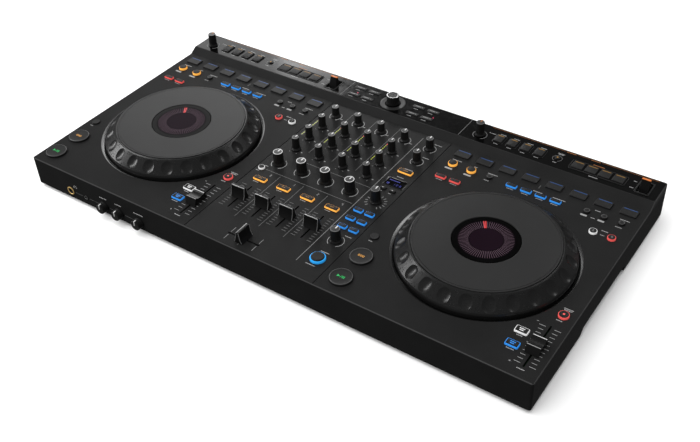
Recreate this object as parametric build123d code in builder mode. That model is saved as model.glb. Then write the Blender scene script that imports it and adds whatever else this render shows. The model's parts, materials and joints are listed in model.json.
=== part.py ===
from build123d import *
import os
from math import atan2, hypot, tan

os.makedirs("parts", exist_ok=True)

# Two-deck, four-channel DJ controller. Millimetres, +X right, +Y back, +Z up.
# The origin is under the middle of the whole object, on the surface it stands on.

# ---- Case ------------------------------------------------------------------
WIDTH = 736.0
DEPTH = 375.0
FOOT_H = 6.0                # the case's lower edge stands this high on its feet
DECK_Z = 47.0               # top of the decks and the mixer
CONSOLE_Z = 54.0            # top of the raised strip at the back
SLOPE_Y = 131.8             # where the slope up to the raised strip starts
CONSOLE_Y = 142.9           # where the raised strip's flat top starts
WALL = 3.0
TOP_T = 4.0                 # thickness of the case's top
PLAN_R = 3.0                # radius of the case's upright corners
EDGE = 0.8                  # chamfer round the case's top edges
SIDE = WIDTH / 2
FRONT = -DEPTH / 2
BACK = DEPTH / 2
COVER_T = 2.5
COVER_Z = FOOT_H + COVER_T  # inner face of the bottom cover
SCOOP_H = 8.0               # finger recess in the lower edge of each side
SCOOP_FRONT, SCOOP_BACK = -60.0, 62.0
SCOOP_IN = 16.0             # how far the finger recess reaches under the case

# ---- Panels set into the case's top -------------------------------------------
MIXER_X = (-97.7, 95.0)     # middles of the two grooves beside the mixer panel
GROOVE = 0.8
MIXER_T = 2.0
LEDGE = 2.0                 # width of the ledge that the mixer panel rests on
INLAY_T = 1.5               # glossy inlay of the raised strip
INLAY_MARGIN = 1.6
SLIDE_GAP = 0.3             # room round a button or lever

# ---- Decks: the right deck repeats the left one -----------------------------------
DECK_PITCH = 465.9
JOG = (-231.7, -37.1)
JOG_R = 106.0
WELL_R = 107.5
BEVEL_R = 112.0
WELL_Z = 38.0
WELL_WALL = 3.0
PLATE_R = 86.9
PLATE_HOLE_R = 40.4
JOG_TOP = 66.8
PLATE_T = 3.0
SCOOPS = 24                 # finger scoops round a jog wheel
HUB_R = 20.0
SPINDLE_R = HUB_R - 0.05
SCREEN_R = 39.9
TEMPO_X = -117.4
TEMPO_SLOT = (-171.5, -104.1)
TEMPO_REST = -141.0

# ---- Mixer ---------------------------------------------------------------------------
CHANNELS = [-75.2, -37.7, -0.3, 37.1]
TRIM_Y, HIGH_Y, MID_Y, LOW_Y, CFX_Y = 105.0, 72.7, 42.3, 12.5, -25.5
FADER_SLOT = (-130.0, -82.0)
CROSS_SLOT = (-43.5, 4.5)
CROSS_Y = -167.4
SLOT_W = 2.2
SECTION_X = 76.0            # column with the master and effect controls
MASTER_Y, BOOTH_Y, FX_SELECT_Y, FX_LEVEL_Y = 105.0, 72.0, -25.8, -112.3
FX_SCREEN = (76.7, 18.6)
FX_SCREEN_SIZE = (27.0, 15.5)

# ---- Raised strip --------------------------------------------------------------------
STRIP_Y = 163.5
STRIP_KNOB_X = -345.0
LEVER = (-118.9, 163.0)
LEVER_HOLE = (15.0, 23.0)
LEVER_PIVOT_Z = CONSOLE_Z - 6.0
LEVER_PIN_R = 1.5
BROWSE = (-19.1, 165.0)

# ---- Front face ------------------------------------------------------------------------
FRONT_Z = 17.4
HEADPHONE_X, MINI_JACK_X = -302.4, -273.6
FRONT_KNOBS = [-240.0, -213.0, -177.5]
FRONT_REACH = 9.0           # how far the front knobs and rear sockets stand out
JACK_R, JACK_DEPTH = 3.25, 28.0
MINI_R, MINI_DEPTH = 1.85, 16.0

# ---- Back face -----------------------------------------------------------------------------
REAR_Z = 24.0
REAR_SOCKETS = {            # kind: places along the back face
    "line": [-300.0, -40.0, -10.0],
    "phono": [30.0, 50.0],
    "usb": [140.0, 170.0],
    "power": [210.0],
}
SOCKET_R = {"line": 6.0, "phono": 5.2, "power": 4.4}
PHONO_R = 4.15             # barrel that a phono plug slides over
USB_SIZE = (9.4, 3.6)

# ---- Electronics -------------------------------------------------------------------------
BOARD_Z, BOARD_T = 29.0, 1.6
STRIP_BOARD_Z = 36.0
BUSH_R = 3.5
SHAFT_R = 3.0
SHAFT_GAP = 0.05
STEM = (2.6, 1.2)           # fader stem, along and across the slot

# ---- Screws and feet ---------------------------------------------------------------------
SCREW_R = 1.5
SCREW_HEAD_R, SCREW_HEAD_T = 2.9, 1.6
BOSS_R = 4.0
SCREW_X = (-358, -130, 104, 358)
DECK_SCREWS = [(x, -179.5) for x in SCREW_X] + [(x, 75.0) for x in (-358, 358)]
STRIP_SCREWS = [(x, 179.5) for x in SCREW_X]
SCREWS = DECK_SCREWS + STRIP_SCREWS
FEET = [(x, y) for x in (-330, 0, 330) for y in (-155, 155)]
FOOT_R = 12.0

# ---- Buttons: outline, how proud of its panel, places. An outline is a radius or a
# ---- width and depth.
PADS = ((21.0, 13.5), 2.2, [(-345.4 + 32.4 * i, 115.6) for i in range(8)])
PLAY_CUE = (14.0, 2.8, [(-348.2, -162.0), (-348.2, -120.8)])
DECK_BUTTONS = [
    (5.6, 1.8, [(-355.0, -82.2)]),
    (6.0, 3.0, [(-347.7, 92.0), (-320.2, 91.4)]),
    (4.2, 2.2, [(-293.9, 91.3), (-163.0, 92.1), (-141.0, 92.1), (-118.8, 92.1)]),
    ((14.0, 6.0), 2.2, [(-347.4, 60.4), (-327.0, 60.4)]),
    ((14.0, 6.0), 2.2, [(-262.3 + 19.87 * i, 89.6) for i in range(4)]),
    (5.0, 2.4, [(-141.7, 61.0), (-118.7, 61.0)]),
    (6.1, 2.4, [(-112.9, -83.6)]),
    ((15.0, 9.0), 2.0, [(-140.6, -127.1), (-140.6, -149.1)]),
]
MIXER_BUTTONS = [
    ((18.5, 7.5), 2.0, [(x, -64.8) for x in CHANNELS]),
    ((20.0, 7.5), 2.0, [(75.6, 44.8)]),
    (4.3, 2.2, [(-89.2, -44.2)]),
    ((8.5, 5.0), 1.8, [(68.7, 2.1), (82.7, 1.9)]),
    ((12.0, 6.5), 2.2, [(x, y) for x in (67.6, 83.8) for y in (-51.5, -69.0, -86.5)]),
    (9.6, 2.6, [(75.9, -148.8)]),
]
FX_BUTTONS = ((13.0, 17.0), 2.0, [(-317.6 + 19.4 * i, STRIP_Y) for i in range(4)])
STRIP_ROUND = (3.8, 1.6, [(-235.3, 164.3)])
DRUM_PADS = ((15.8, 15.5), 1.4, [(-206.5 + 18.2 * i, 163.2) for i in range(4)])
BROWSE_BUTTONS = (
    (19.0, 7.0),
    0.8,
    [(BROWSE[0] + side * x, y) for side in (-1, 1) for x in (37.0, 60.0) for y in (156.0, 174.5)],
)
BUTTON_R = 1.2              # corner radius of a rectangular button
FLANGE = 0.8                # how far a button's flange stands out under its panel
FLANGE_T = 1.5
FLANGE_GAP = 0.5
BUTTON_EDGE = 0.4


def finish(part_builder, name):
    """Label a finished sub-part and write it to its own file."""
    part_builder.part.label = name
    export_step(part_builder.part, f"parts/{name}.step")


def on_both_decks(places):
    """The same places on the left and on the right deck."""
    return [(x + shift, y) for shift in (0, DECK_PITCH) for x, y in places]


def both(family):
    """A button family repeated on both decks."""
    size, proud, places = family
    return size, proud, on_both_decks(places)


def outline(size, grow=0.0):
    """Circle for a radius, rounded rectangle for a width and a depth."""
    if isinstance(size, tuple):
        RectangleRounded(size[0] + 2 * grow, size[1] + 2 * grow, BUTTON_R + grow)
    else:
        Circle(size + grow)


def cut_holes(families, z):
    """Cut each button's hole down through the panel whose top is at z."""
    for size, _, places in families:
        with BuildSketch(Plane.XY.offset(z)) as holes:
            with Locations(*places):
                outline(size, SLIDE_GAP)
        extrude(holes.sketch, amount=-3 * TOP_T, mode=Mode.SUBTRACT)


def cut_round_holes(places, radius, z):
    """Cut round holes down through the panel whose top is at z."""
    with BuildSketch(Plane.XY.offset(z)) as holes:
        with Locations(*places):
            Circle(radius)
    extrude(holes.sketch, amount=-3 * TOP_T, mode=Mode.SUBTRACT)


def cut_slot(middle, length, turn, z):
    """Cut a fader's slot down through the panel whose top is at z."""
    with BuildSketch(Plane.XY.offset(z)) as slot:
        with Locations(middle):
            SlotOverall(length, SLOT_W, rotation=turn)
    extrude(slot.sketch, amount=-3 * TOP_T, mode=Mode.SUBTRACT)


def block(box_x, box_y, low, high, mode=Mode.ADD):
    """Rectangular block between two x, two y and two z values."""
    with BuildSketch(Plane.XY.offset(low)) as base:
        with Locations(((box_x[0] + box_x[1]) / 2, (box_y[0] + box_y[1]) / 2)):
            Rectangle(box_x[1] - box_x[0], box_y[1] - box_y[0])
    extrude(base.sketch, amount=high - low, mode=mode)


def posts(places, radius, low, high, mode=Mode.ADD):
    """Round posts, or round holes when the mode is Mode.SUBTRACT."""
    with BuildSketch(Plane.XY.offset(low)) as bases:
        with Locations(*places):
            Circle(radius)
    extrude(bases.sketch, amount=high - low, mode=mode)


DECK_FAMILIES = [both(PADS), both(PLAY_CUE)] + [both(family) for family in DECK_BUTTONS]
STRIP_FAMILIES = [both(FX_BUTTONS), both(STRIP_ROUND), both(DRUM_PADS), BROWSE_BUTTONS]
JOGS = on_both_decks([JOG])
TEMPOS = on_both_decks([(TEMPO_X, sum(TEMPO_SLOT) / 2)])
LEVERS = on_both_decks([LEVER])
STRIP_KNOBS = on_both_decks([(STRIP_KNOB_X, 160.0)])
FADER_MIDDLE = sum(FADER_SLOT) / 2
CROSS_MIDDLE = sum(CROSS_SLOT) / 2
MIXER_KNOBS = [(x, y) for y in (TRIM_Y, HIGH_Y, MID_Y, LOW_Y, CFX_Y) for x in CHANNELS]
SECTION_KNOBS = [(SECTION_X, y) for y in (MASTER_Y, BOOTH_Y, FX_SELECT_Y, FX_LEVEL_Y)]


# ==== Top case: decks, slope, raised strip and side walls in one moulding ================
slope_turn = atan2(CONSOLE_Z - DECK_Z, CONSOLE_Y - SLOPE_Y)
SLOPE_SHIFT = TOP_T * tan(slope_turn / 2)    # inner slope for an even thickness


def case_profile(wall, top):
    """Side outline of the case, moved in by a wall and a top thickness."""
    shift = SLOPE_SHIFT * top / TOP_T
    with BuildSketch(Plane.YZ) as profile:
        with BuildLine():
            Polyline(
                (FRONT + wall, FOOT_H),
                (FRONT + wall, DECK_Z - top),
                (SLOPE_Y + shift, DECK_Z - top),
                (CONSOLE_Y + shift, CONSOLE_Z - top),
                (BACK - wall, CONSOLE_Z - top),
                (BACK - wall, FOOT_H),
                close=True,
            )
        make_face()
    return profile.sketch


with BuildPart() as top_case:
    extrude(case_profile(0, 0), amount=SIDE, both=True)
    fillet(top_case.edges().filter_by(Axis.Z), PLAN_R)
    top_faces = top_case.faces().filter_by(lambda face: face.normal_at().Z > 0.3)
    rim_edges = [
        edge
        for face in top_faces
        for edge in face.edges()
        if sum(other.center() == edge.center() for f in top_faces for other in f.edges()) == 1
    ]
    chamfer(rim_edges, EDGE)
    extrude(case_profile(WALL, TOP_T), amount=SIDE - WALL, both=True, mode=Mode.SUBTRACT)
    posts(DECK_SCREWS, BOSS_R, COVER_Z, DECK_Z - TOP_T / 2)
    posts(STRIP_SCREWS, BOSS_R, COVER_Z, CONSOLE_Z - TOP_T / 2)
    posts(JOGS, WELL_R + WELL_WALL, WELL_Z - WELL_WALL, DECK_Z - TOP_T / 2)
    posts(SCREWS, SCREW_R + SHAFT_GAP, COVER_Z, COVER_Z + 14, Mode.SUBTRACT)
    posts(JOGS, WELL_R, WELL_Z, DECK_Z, Mode.SUBTRACT)
    posts(JOGS, HUB_R + 2, WELL_Z - WELL_WALL, WELL_Z, Mode.SUBTRACT)
    for jog in JOGS:
        with BuildSketch(Plane((jog[0], jog[1], 0), x_dir=(1, 0, 0), z_dir=(0, -1, 0))):
            Polygon(
                (WELL_R - 1, DECK_Z + 1),
                (BEVEL_R, DECK_Z + 1),
                (BEVEL_R, DECK_Z),
                (WELL_R, DECK_Z - 1.7),
                (WELL_R - 1, DECK_Z - 1.7),
                align=None,
            )
        revolve(axis=Axis((jog[0], jog[1], 0), (0, 0, 1)), mode=Mode.SUBTRACT)
    # pocket and ledge for the mixer panel
    block(
        (MIXER_X[0] - GROOVE / 2, MIXER_X[1] + GROOVE / 2),
        (FRONT + 1.3, SLOPE_Y - 0.4),
        DECK_Z - MIXER_T,
        DECK_Z,
        Mode.SUBTRACT,
    )
    block(
        (MIXER_X[0] + LEDGE, MIXER_X[1] - LEDGE),
        (FRONT + WALL + 1, SLOPE_Y - 0.4 - LEDGE),
        DECK_Z - 2 * TOP_T,
        DECK_Z,
        Mode.SUBTRACT,
    )
    # pocket for the glossy inlay, then every hole
    with BuildSketch(Plane.XY.offset(CONSOLE_Z)):
        with Locations((0, (CONSOLE_Y + BACK) / 2)):
            RectangleRounded(WIDTH - 2 * INLAY_MARGIN, BACK - CONSOLE_Y - 2 * INLAY_MARGIN, PLAN_R)
    extrude(amount=-INLAY_T, mode=Mode.SUBTRACT)
    cut_holes(DECK_FAMILIES, DECK_Z)
    cut_holes(STRIP_FAMILIES, CONSOLE_Z)
    cut_round_holes(STRIP_KNOBS + [BROWSE], BUSH_R + SLIDE_GAP, CONSOLE_Z)
    for lever in LEVERS:
        block(
            (lever[0] - LEVER_HOLE[0] / 2, lever[0] + LEVER_HOLE[0] / 2),
            (lever[1] - LEVER_HOLE[1] / 2, lever[1] + LEVER_HOLE[1] / 2),
            CONSOLE_Z - 2 * TOP_T,
            CONSOLE_Z,
            Mode.SUBTRACT,
        )
    for tempo in TEMPOS:
        cut_slot(tempo, TEMPO_SLOT[1] - TEMPO_SLOT[0], 90, DECK_Z)
    # finger recess in each side's lower edge
    for side in (-SIDE, SIDE):
        with BuildSketch(Plane.YZ.offset(side)):
            Polygon(
                (SCOOP_FRONT - SCOOP_H / 2, FOOT_H - 1),
                (SCOOP_FRONT + SCOOP_H / 2, FOOT_H + SCOOP_H),
                (SCOOP_BACK, FOOT_H + SCOOP_H),
                (SCOOP_BACK, FOOT_H - 1),
                align=None,
            )
        extrude(amount=WALL + 1, both=True, mode=Mode.SUBTRACT)
    # openings in the front and back faces
    with BuildSketch(Plane.XZ.offset(-FRONT)):
        with Locations((HEADPHONE_X, FRONT_Z)):
            Circle(6.2)
        with Locations((MINI_JACK_X, FRONT_Z)):
            Circle(3.2)
        with Locations(*[(x, FRONT_Z) for x in FRONT_KNOBS]):
            Circle(BUSH_R + SLIDE_GAP)
    extrude(amount=-WALL - 1, mode=Mode.SUBTRACT)
    with BuildSketch(Plane.XZ.offset(-BACK)):
        for kind, radius in SOCKET_R.items():
            with Locations(*[(x, REAR_Z) for x in REAR_SOCKETS[kind]]):
                Circle(radius + SLIDE_GAP)
        with Locations(*[(x, REAR_Z) for x in REAR_SOCKETS["usb"]]):
            RectangleRounded(USB_SIZE[0] + 0.6, USB_SIZE[1] + 0.6, 1.6)
    extrude(amount=WALL + 1, mode=Mode.SUBTRACT)
finish(top_case, "top_case")

# ==== Bottom cover: plate inside the walls, recess roofs, board posts ====================
COVER_GAP = 0.3
BOARD_POSTS = [(x + shift, y) for shift in (0, DECK_PITCH) for x in (-340, -125) for y in (-100, 60)]
BOARD_POSTS += [(x, y) for x in (-70, 70) for y in (-155, 105)]
STRIP_POSTS = [(x, 150) for x in (-300, -160, 130, 300)]

with BuildPart() as bottom_cover:
    with BuildSketch(Plane.XY.offset(FOOT_H)):
        Rectangle(WIDTH - 2 * (WALL + COVER_GAP), DEPTH - 2 * (WALL + COVER_GAP))
    extrude(amount=COVER_T)
    for side in (-1, 1):
        edge_x = side * (SIDE - WALL - COVER_GAP)
        inner_x = side * (SIDE - SCOOP_IN)
        span_x = tuple(sorted((edge_x, inner_x - side * COVER_T)))
        open_x = tuple(sorted((edge_x, inner_x)))
        span_y = (SCOOP_FRONT - SCOOP_H / 2 - COVER_T, SCOOP_BACK + COVER_T)
        open_y = (SCOOP_FRONT - SCOOP_H / 2, SCOOP_BACK)
        block(span_x, span_y, FOOT_H, FOOT_H + SCOOP_H + COVER_T)
        block(open_x, open_y, FOOT_H, FOOT_H + SCOOP_H, Mode.SUBTRACT)
    posts(BOARD_POSTS, 3.0, COVER_Z, BOARD_Z)
    posts(STRIP_POSTS, 3.0, COVER_Z, STRIP_BOARD_Z)
    posts(SCREWS, SCREW_HEAD_R + 0.2, FOOT_H, FOOT_H + SCREW_HEAD_T, Mode.SUBTRACT)
    posts(SCREWS, SCREW_R + 0.2, FOOT_H, COVER_Z, Mode.SUBTRACT)
finish(bottom_cover, "bottom_cover")

# ==== Mixer panel: separate faceplate between the two grooves =============================
with BuildPart() as mixer_panel:
    block(
        (MIXER_X[0] + GROOVE / 2, MIXER_X[1] - GROOVE / 2),
        (FRONT + 1.4, SLOPE_Y - 0.6),
        DECK_Z - MIXER_T,
        DECK_Z,
    )
    chamfer(mixer_panel.faces().sort_by(Axis.Z)[-1].edges(), 0.25)
    cut_holes(MIXER_BUTTONS, DECK_Z)
    cut_round_holes(MIXER_KNOBS + SECTION_KNOBS, BUSH_R + SLIDE_GAP, DECK_Z)
    for channel in CHANNELS:
        cut_slot((channel, FADER_MIDDLE), FADER_SLOT[1] - FADER_SLOT[0], 90, DECK_Z)
    cut_slot((CROSS_MIDDLE, CROSS_Y), CROSS_SLOT[1] - CROSS_SLOT[0], 0, DECK_Z)
    with BuildSketch(Plane.XY.offset(DECK_Z)):
        with Locations(FX_SCREEN):
            Rectangle(*FX_SCREEN_SIZE)
    extrude(amount=-MIXER_T, mode=Mode.SUBTRACT)
finish(mixer_panel, "mixer_panel")

# ==== Console inlay: glossy plate on the raised strip =======================================
INLAY_GAP = 0.15
with BuildPart() as console_inlay:
    with BuildSketch(Plane.XY.offset(CONSOLE_Z - INLAY_T)):
        with Locations((0, (CONSOLE_Y + BACK) / 2)):
            RectangleRounded(
                WIDTH - 2 * INLAY_MARGIN - 2 * INLAY_GAP,
                BACK - CONSOLE_Y - 2 * INLAY_MARGIN - 2 * INLAY_GAP,
                PLAN_R - INLAY_GAP,
            )
    extrude(amount=INLAY_T)
    cut_holes(STRIP_FAMILIES, CONSOLE_Z)
    cut_round_holes(STRIP_KNOBS + [BROWSE], BUSH_R + SLIDE_GAP, CONSOLE_Z)
    for lever in LEVERS:
        block(
            (lever[0] - LEVER_HOLE[0] / 2, lever[0] + LEVER_HOLE[0] / 2),
            (lever[1] - LEVER_HOLE[1] / 2, lever[1] + LEVER_HOLE[1] / 2),
            CONSOLE_Z - 2 * TOP_T,
            CONSOLE_Z,
            Mode.SUBTRACT,
        )
finish(console_inlay, "console_inlay")

# ==== Circuit boards with their potentiometers, slide controls and key switches ============
POT_SIZE, POT_H = 11.0, 6.5
SLIDE_W, SLIDE_H = 7.0, 7.5
SWITCH_SIZE = 5.0
SWITCH_GAP = 0.6            # room under a button that is pressed home
BUTTON_TRAVEL = 1.0


def button_floor(panel_z, plate):
    """Lowest face of a button under its panel, at rest."""
    return panel_z - plate - FLANGE_GAP - FLANGE_T


def switches(families, board_z, floor):
    """Key switches from the board up to just under the pressed buttons."""
    for _, _, places in families:
        with BuildSketch(Plane.XY.offset(board_z + BOARD_T)) as bases:
            with Locations(*places):
                Rectangle(SWITCH_SIZE, SWITCH_SIZE)
        extrude(bases.sketch, amount=floor - BUTTON_TRAVEL - SWITCH_GAP - board_z - BOARD_T)


def pots(places, board_z, bush_top):
    """Rotary controls: a square body with a threaded bushing and its bore."""
    with BuildSketch(Plane.XY.offset(board_z + BOARD_T)) as bodies:
        with Locations(*places):
            Rectangle(POT_SIZE, POT_SIZE)
    extrude(bodies.sketch, amount=POT_H)
    posts(places, BUSH_R, board_z + BOARD_T + POT_H, bush_top)
    posts(places, SHAFT_R + SHAFT_GAP, board_z + BOARD_T + 1, bush_top, Mode.SUBTRACT)


def slide_control(middle, length, turn):
    """Slide control: a long housing with the slot its stem runs in."""
    with BuildSketch(Plane.XY.offset(BOARD_Z + BOARD_T)) as housing:
        with Locations(middle):
            Rectangle(length + 8, SLIDE_W, rotation=turn)
    extrude(housing.sketch, amount=SLIDE_H)
    with BuildSketch(Plane.XY.offset(BOARD_Z + BOARD_T + 1)) as track:
        with Locations(middle):
            Rectangle(length, SLOT_W, rotation=turn)
    extrude(track.sketch, amount=SLIDE_H, mode=Mode.SUBTRACT)


DECK_BOARD_X = (-362.0, -101.0)
DECK_BOARD_Y = (-180.0, 128.0)
BUSH_TOP = DECK_Z - 1.0
STRIP_BUSH_TOP = CONSOLE_Z - 1.0

with BuildPart() as circuit_boards:
    for shift in (0, DECK_PITCH):
        deck_x = (DECK_BOARD_X[0] + shift, DECK_BOARD_X[1] + shift)
        block(deck_x, DECK_BOARD_Y, BOARD_Z, BOARD_Z + BOARD_T)
    block((-93.0, 90.0), (-182.0, 126.0), BOARD_Z, BOARD_Z + BOARD_T)
    block((-355.0, 355.0), (146.0, 182.0), STRIP_BOARD_Z, STRIP_BOARD_Z + BOARD_T)
    posts(JOGS, 34.0, BOARD_Z, BOARD_Z + BOARD_T, Mode.SUBTRACT)
    posts(SCREWS, BOSS_R + 1, BOARD_Z, STRIP_BOARD_Z + BOARD_T, Mode.SUBTRACT)
    switches(DECK_FAMILIES, BOARD_Z, button_floor(DECK_Z, TOP_T))
    switches(MIXER_BUTTONS, BOARD_Z, button_floor(DECK_Z, MIXER_T))
    switches(STRIP_FAMILIES, STRIP_BOARD_Z, button_floor(CONSOLE_Z, TOP_T))
    pots(MIXER_KNOBS + SECTION_KNOBS, BOARD_Z, BUSH_TOP)
    pots(STRIP_KNOBS + [BROWSE], STRIP_BOARD_Z, STRIP_BUSH_TOP)
    for channel in CHANNELS:
        slide_control((channel, FADER_MIDDLE), FADER_SLOT[1] - FADER_SLOT[0], 90)
    slide_control((CROSS_MIDDLE, CROSS_Y), CROSS_SLOT[1] - CROSS_SLOT[0], 0)
    for tempo in TEMPOS:
        slide_control(tempo, TEMPO_SLOT[1] - TEMPO_SLOT[0], 90)
    # upright board behind the front knobs
    FRONT_BOARD_Y = FRONT + 19.0
    block((-250.0, -167.0), (FRONT_BOARD_Y, FRONT_BOARD_Y + BOARD_T), COVER_Z + 0.5, BOARD_Z - 0.5)
    with BuildSketch(Plane.XZ.offset(-FRONT_BOARD_Y)):
        with Locations(*[(x, FRONT_Z) for x in FRONT_KNOBS]):
            Rectangle(POT_SIZE, POT_SIZE)
    extrude(amount=POT_H)
    with BuildSketch(Plane.XZ.offset(-FRONT_BOARD_Y + POT_H)):
        with Locations(*[(x, FRONT_Z) for x in FRONT_KNOBS]):
            Circle(BUSH_R)
    extrude(amount=FRONT_BOARD_Y - POT_H - FRONT - 1)
    with BuildSketch(Plane.XZ.offset(-FRONT)):
        with Locations(*[(x, FRONT_Z) for x in FRONT_KNOBS]):
            Circle(SHAFT_R + SHAFT_GAP)
    extrude(amount=FRONT - FRONT_BOARD_Y + 1, mode=Mode.SUBTRACT)
finish(circuit_boards, "circuit_boards")

# ==== Jog wheels ==============================================================================
# Every finger scoop is the same rounded cut, laid along the cone of the rim.
CONE_LOW = (105.0, 51.4)    # radius and height where the rim's cone starts and ends
CONE_HIGH = (89.6, 65.2)
SCOOP_BALL = 15.6
SCOOP_DEPTH = 2.2
SCOOP_RUN = 2.5
cone_length = hypot(CONE_LOW[0] - CONE_HIGH[0], CONE_HIGH[1] - CONE_LOW[1])
cone_in = (CONE_LOW[0] - CONE_HIGH[0]) / cone_length
cone_up = (CONE_HIGH[1] - CONE_LOW[1]) / cone_length
scoop_lift = SCOOP_BALL - SCOOP_DEPTH
scoop_place = (
    (CONE_LOW[0] + CONE_HIGH[0]) / 2 + scoop_lift * cone_up,
    0,
    (CONE_LOW[1] + CONE_HIGH[1]) / 2 + scoop_lift * cone_in,
)
WEB_LOW, WEB_STEP = 56.0, 58.5
PLATE_SEAT = JOG_TOP - PLATE_T

with BuildPart(Plane(scoop_place, x_dir=(0, 1, 0), z_dir=(-cone_in, 0, cone_up))) as scoop:
    Cylinder(SCOOP_BALL, SCOOP_RUN)
    with Locations((0, 0, SCOOP_RUN / 2), (0, 0, -SCOOP_RUN / 2)):
        Sphere(SCOOP_BALL)


def jog_rim(name, place):
    """Rim with finger scoops, web and hub, turned about the jog's axis."""
    x, y = place
    with BuildPart() as rim:
        with BuildSketch(Plane((x, y, 0), x_dir=(1, 0, 0), z_dir=(0, -1, 0))):
            with BuildLine():
                FilletPolyline(
                    (HUB_R, 41.0),
                    (HUB_R + 6, 41.0),
                    (HUB_R + 6, WEB_LOW),
                    (44.0, WEB_LOW),
                    (44.0, PLATE_SEAT - 2.8),
                    (86.5, PLATE_SEAT - 2.8),
                    (101.5, 47.5),
                    (102.8, 42.5),
                    (JOG_R, 42.5),
                    (JOG_R, 49.0),
                    CONE_LOW,
                    CONE_HIGH,
                    (88.4, 65.8),
                    (87.4, 65.8),
                    (87.4, PLATE_SEAT),
                    (41.5, PLATE_SEAT),
                    (41.5, WEB_STEP),
                    (HUB_R, WEB_STEP),
                    radius=[0, 0, 1, 0, 1, 2, 0, 0, 0, 1.5, 2, 0.8, 0.4, 0, 0, 0, 0.5, 0],
                    close=True,
                )
            make_face()
        revolve(axis=Axis((x, y, 0), (0, 0, 1)))
        with Locations((x, y, 0)):
            with PolarLocations(0, SCOOPS):
                add(scoop.part, mode=Mode.SUBTRACT)
    finish(rim, name)


def jog_plate(name, place):
    """Flat touch plate that lies on the rim's web, with a fine ring groove."""
    x, y = place
    with BuildPart() as plate:
        with BuildSketch(Plane.XY.offset(PLATE_SEAT)):
            with Locations((x, y)):
                Circle(PLATE_R)
                Circle(PLATE_HOLE_R, mode=Mode.SUBTRACT)
        extrude(amount=PLATE_T)
        fillet(plate.faces().sort_by(Axis.Z)[-1].edges(), 0.6)
        with BuildSketch(Plane.XY.offset(JOG_TOP)):
            with Locations((x, y)):
                Circle(PLATE_R - 2.4)
                Circle(PLATE_R - 2.9, mode=Mode.SUBTRACT)
        extrude(amount=-0.4, mode=Mode.SUBTRACT)
    finish(plate, name)


for side, place in zip(("left", "right"), JOGS):
    jog_rim(f"jog_rim_{side}", place)
    jog_plate(f"jog_plate_{side}", place)

# ==== Jog spindles: fixed posts that carry the wheels and their screens =====================
SCREEN_SEAT = 61.0
with BuildPart() as jog_spindles:
    posts(JOGS, 30.0, COVER_Z, COVER_Z + 3)
    posts(JOGS, SPINDLE_R, COVER_Z + 3, SCREEN_SEAT)
    posts(JOGS, 8.0, COVER_Z, SCREEN_SEAT, Mode.SUBTRACT)
finish(jog_spindles, "jog_spindles")

with BuildPart() as displays:
    posts(JOGS, SCREEN_R, SCREEN_SEAT, JOG_TOP - 0.4)
    chamfer(displays.faces().filter_by(Axis.Z).group_by(Axis.Z)[-1].edges(), 0.3)
    with BuildSketch(Plane.XY.offset(DECK_Z - 5)):
        with Locations(FX_SCREEN):
            Rectangle(FX_SCREEN_SIZE[0] - 0.2, FX_SCREEN_SIZE[1] - 0.2)
    extrude(amount=4.9)
finish(displays, "displays")

# ==== Faders: a stem in the slide control and a finger cap ===================================
CAP_GAP = 1.0               # between a cap and its panel
STEM_FOOT = BOARD_Z + BOARD_T + 2
FADER_CAP = (20.5, 11.4, 4.4, 16.5)          # width, foot and top thickness, height
TEMPO_CAP = (16.0, 24.0, 10.0)               # width, length, height


def fader(name, place, turn):
    """Flat finger cap on its stem. Turn 0 runs along Y, turn 90 along X."""
    width, foot, top, height = FADER_CAP
    across = Plane((place[0], place[1], 0)).rotated((0, 0, turn))
    side_view = Plane(across.origin, x_dir=across.y_dir, z_dir=across.x_dir)
    low = DECK_Z + CAP_GAP
    high = DECK_Z + height
    with BuildPart() as cap:
        with BuildSketch(side_view):
            with BuildLine():
                Polyline((top / 2, high), (-top / 2, high))
                ThreePointArc((-top / 2, high), (-top / 2 - 0.7, high - 8), (-foot / 2, low))
                Polyline((-foot / 2, low), (foot / 2, low))
                ThreePointArc((foot / 2, low), (top / 2 + 0.7, high - 8), (top / 2, high))
            make_face()
        extrude(amount=width / 2, both=True)
        fillet(cap.edges().group_by(Axis.Z)[-1], 0.8)
        with BuildSketch(across.offset(STEM_FOOT)):
            Rectangle(STEM[1], STEM[0])
        extrude(amount=low - STEM_FOOT)
    finish(cap, name)


def tempo_fader(name, place):
    """Long saddle-shaped cap on its stem."""
    width, length, height = TEMPO_CAP
    low = DECK_Z + CAP_GAP
    high = DECK_Z + height
    side_view = Plane((place[0], place[1], 0), x_dir=(0, 1, 0), z_dir=(1, 0, 0))
    with BuildPart() as cap:
        with BuildSketch(side_view):
            with BuildLine():
                Polyline((-7, high), (-8, high), (-length / 2, low), (length / 2, low), (8, high), (7, high))
                ThreePointArc((7, high), (0, high - 1.8), (-7, high))
            make_face()
        extrude(amount=width / 2, both=True)
        with BuildSketch(Plane((place[0], place[1], STEM_FOOT))):
            Rectangle(STEM[1], STEM[0])
        extrude(amount=low - STEM_FOOT)
    finish(cap, name)


for number, channel in enumerate(CHANNELS, 1):
    fader(f"channel_fader_{number}", (channel, FADER_MIDDLE), 0)
fader("crossfader", (CROSS_MIDDLE, CROSS_Y), 90)
for side, tempo in zip(("left", "right"), TEMPOS):
    tempo_fader(f"tempo_fader_{side}", (tempo[0], TEMPO_REST))

# ==== Effect levers: sprung paddles on pins across their openings ============================
LEVER_LEAN = 8.0
LEVER_UP = 18.0             # from the pivot to the paddle's tip


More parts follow.
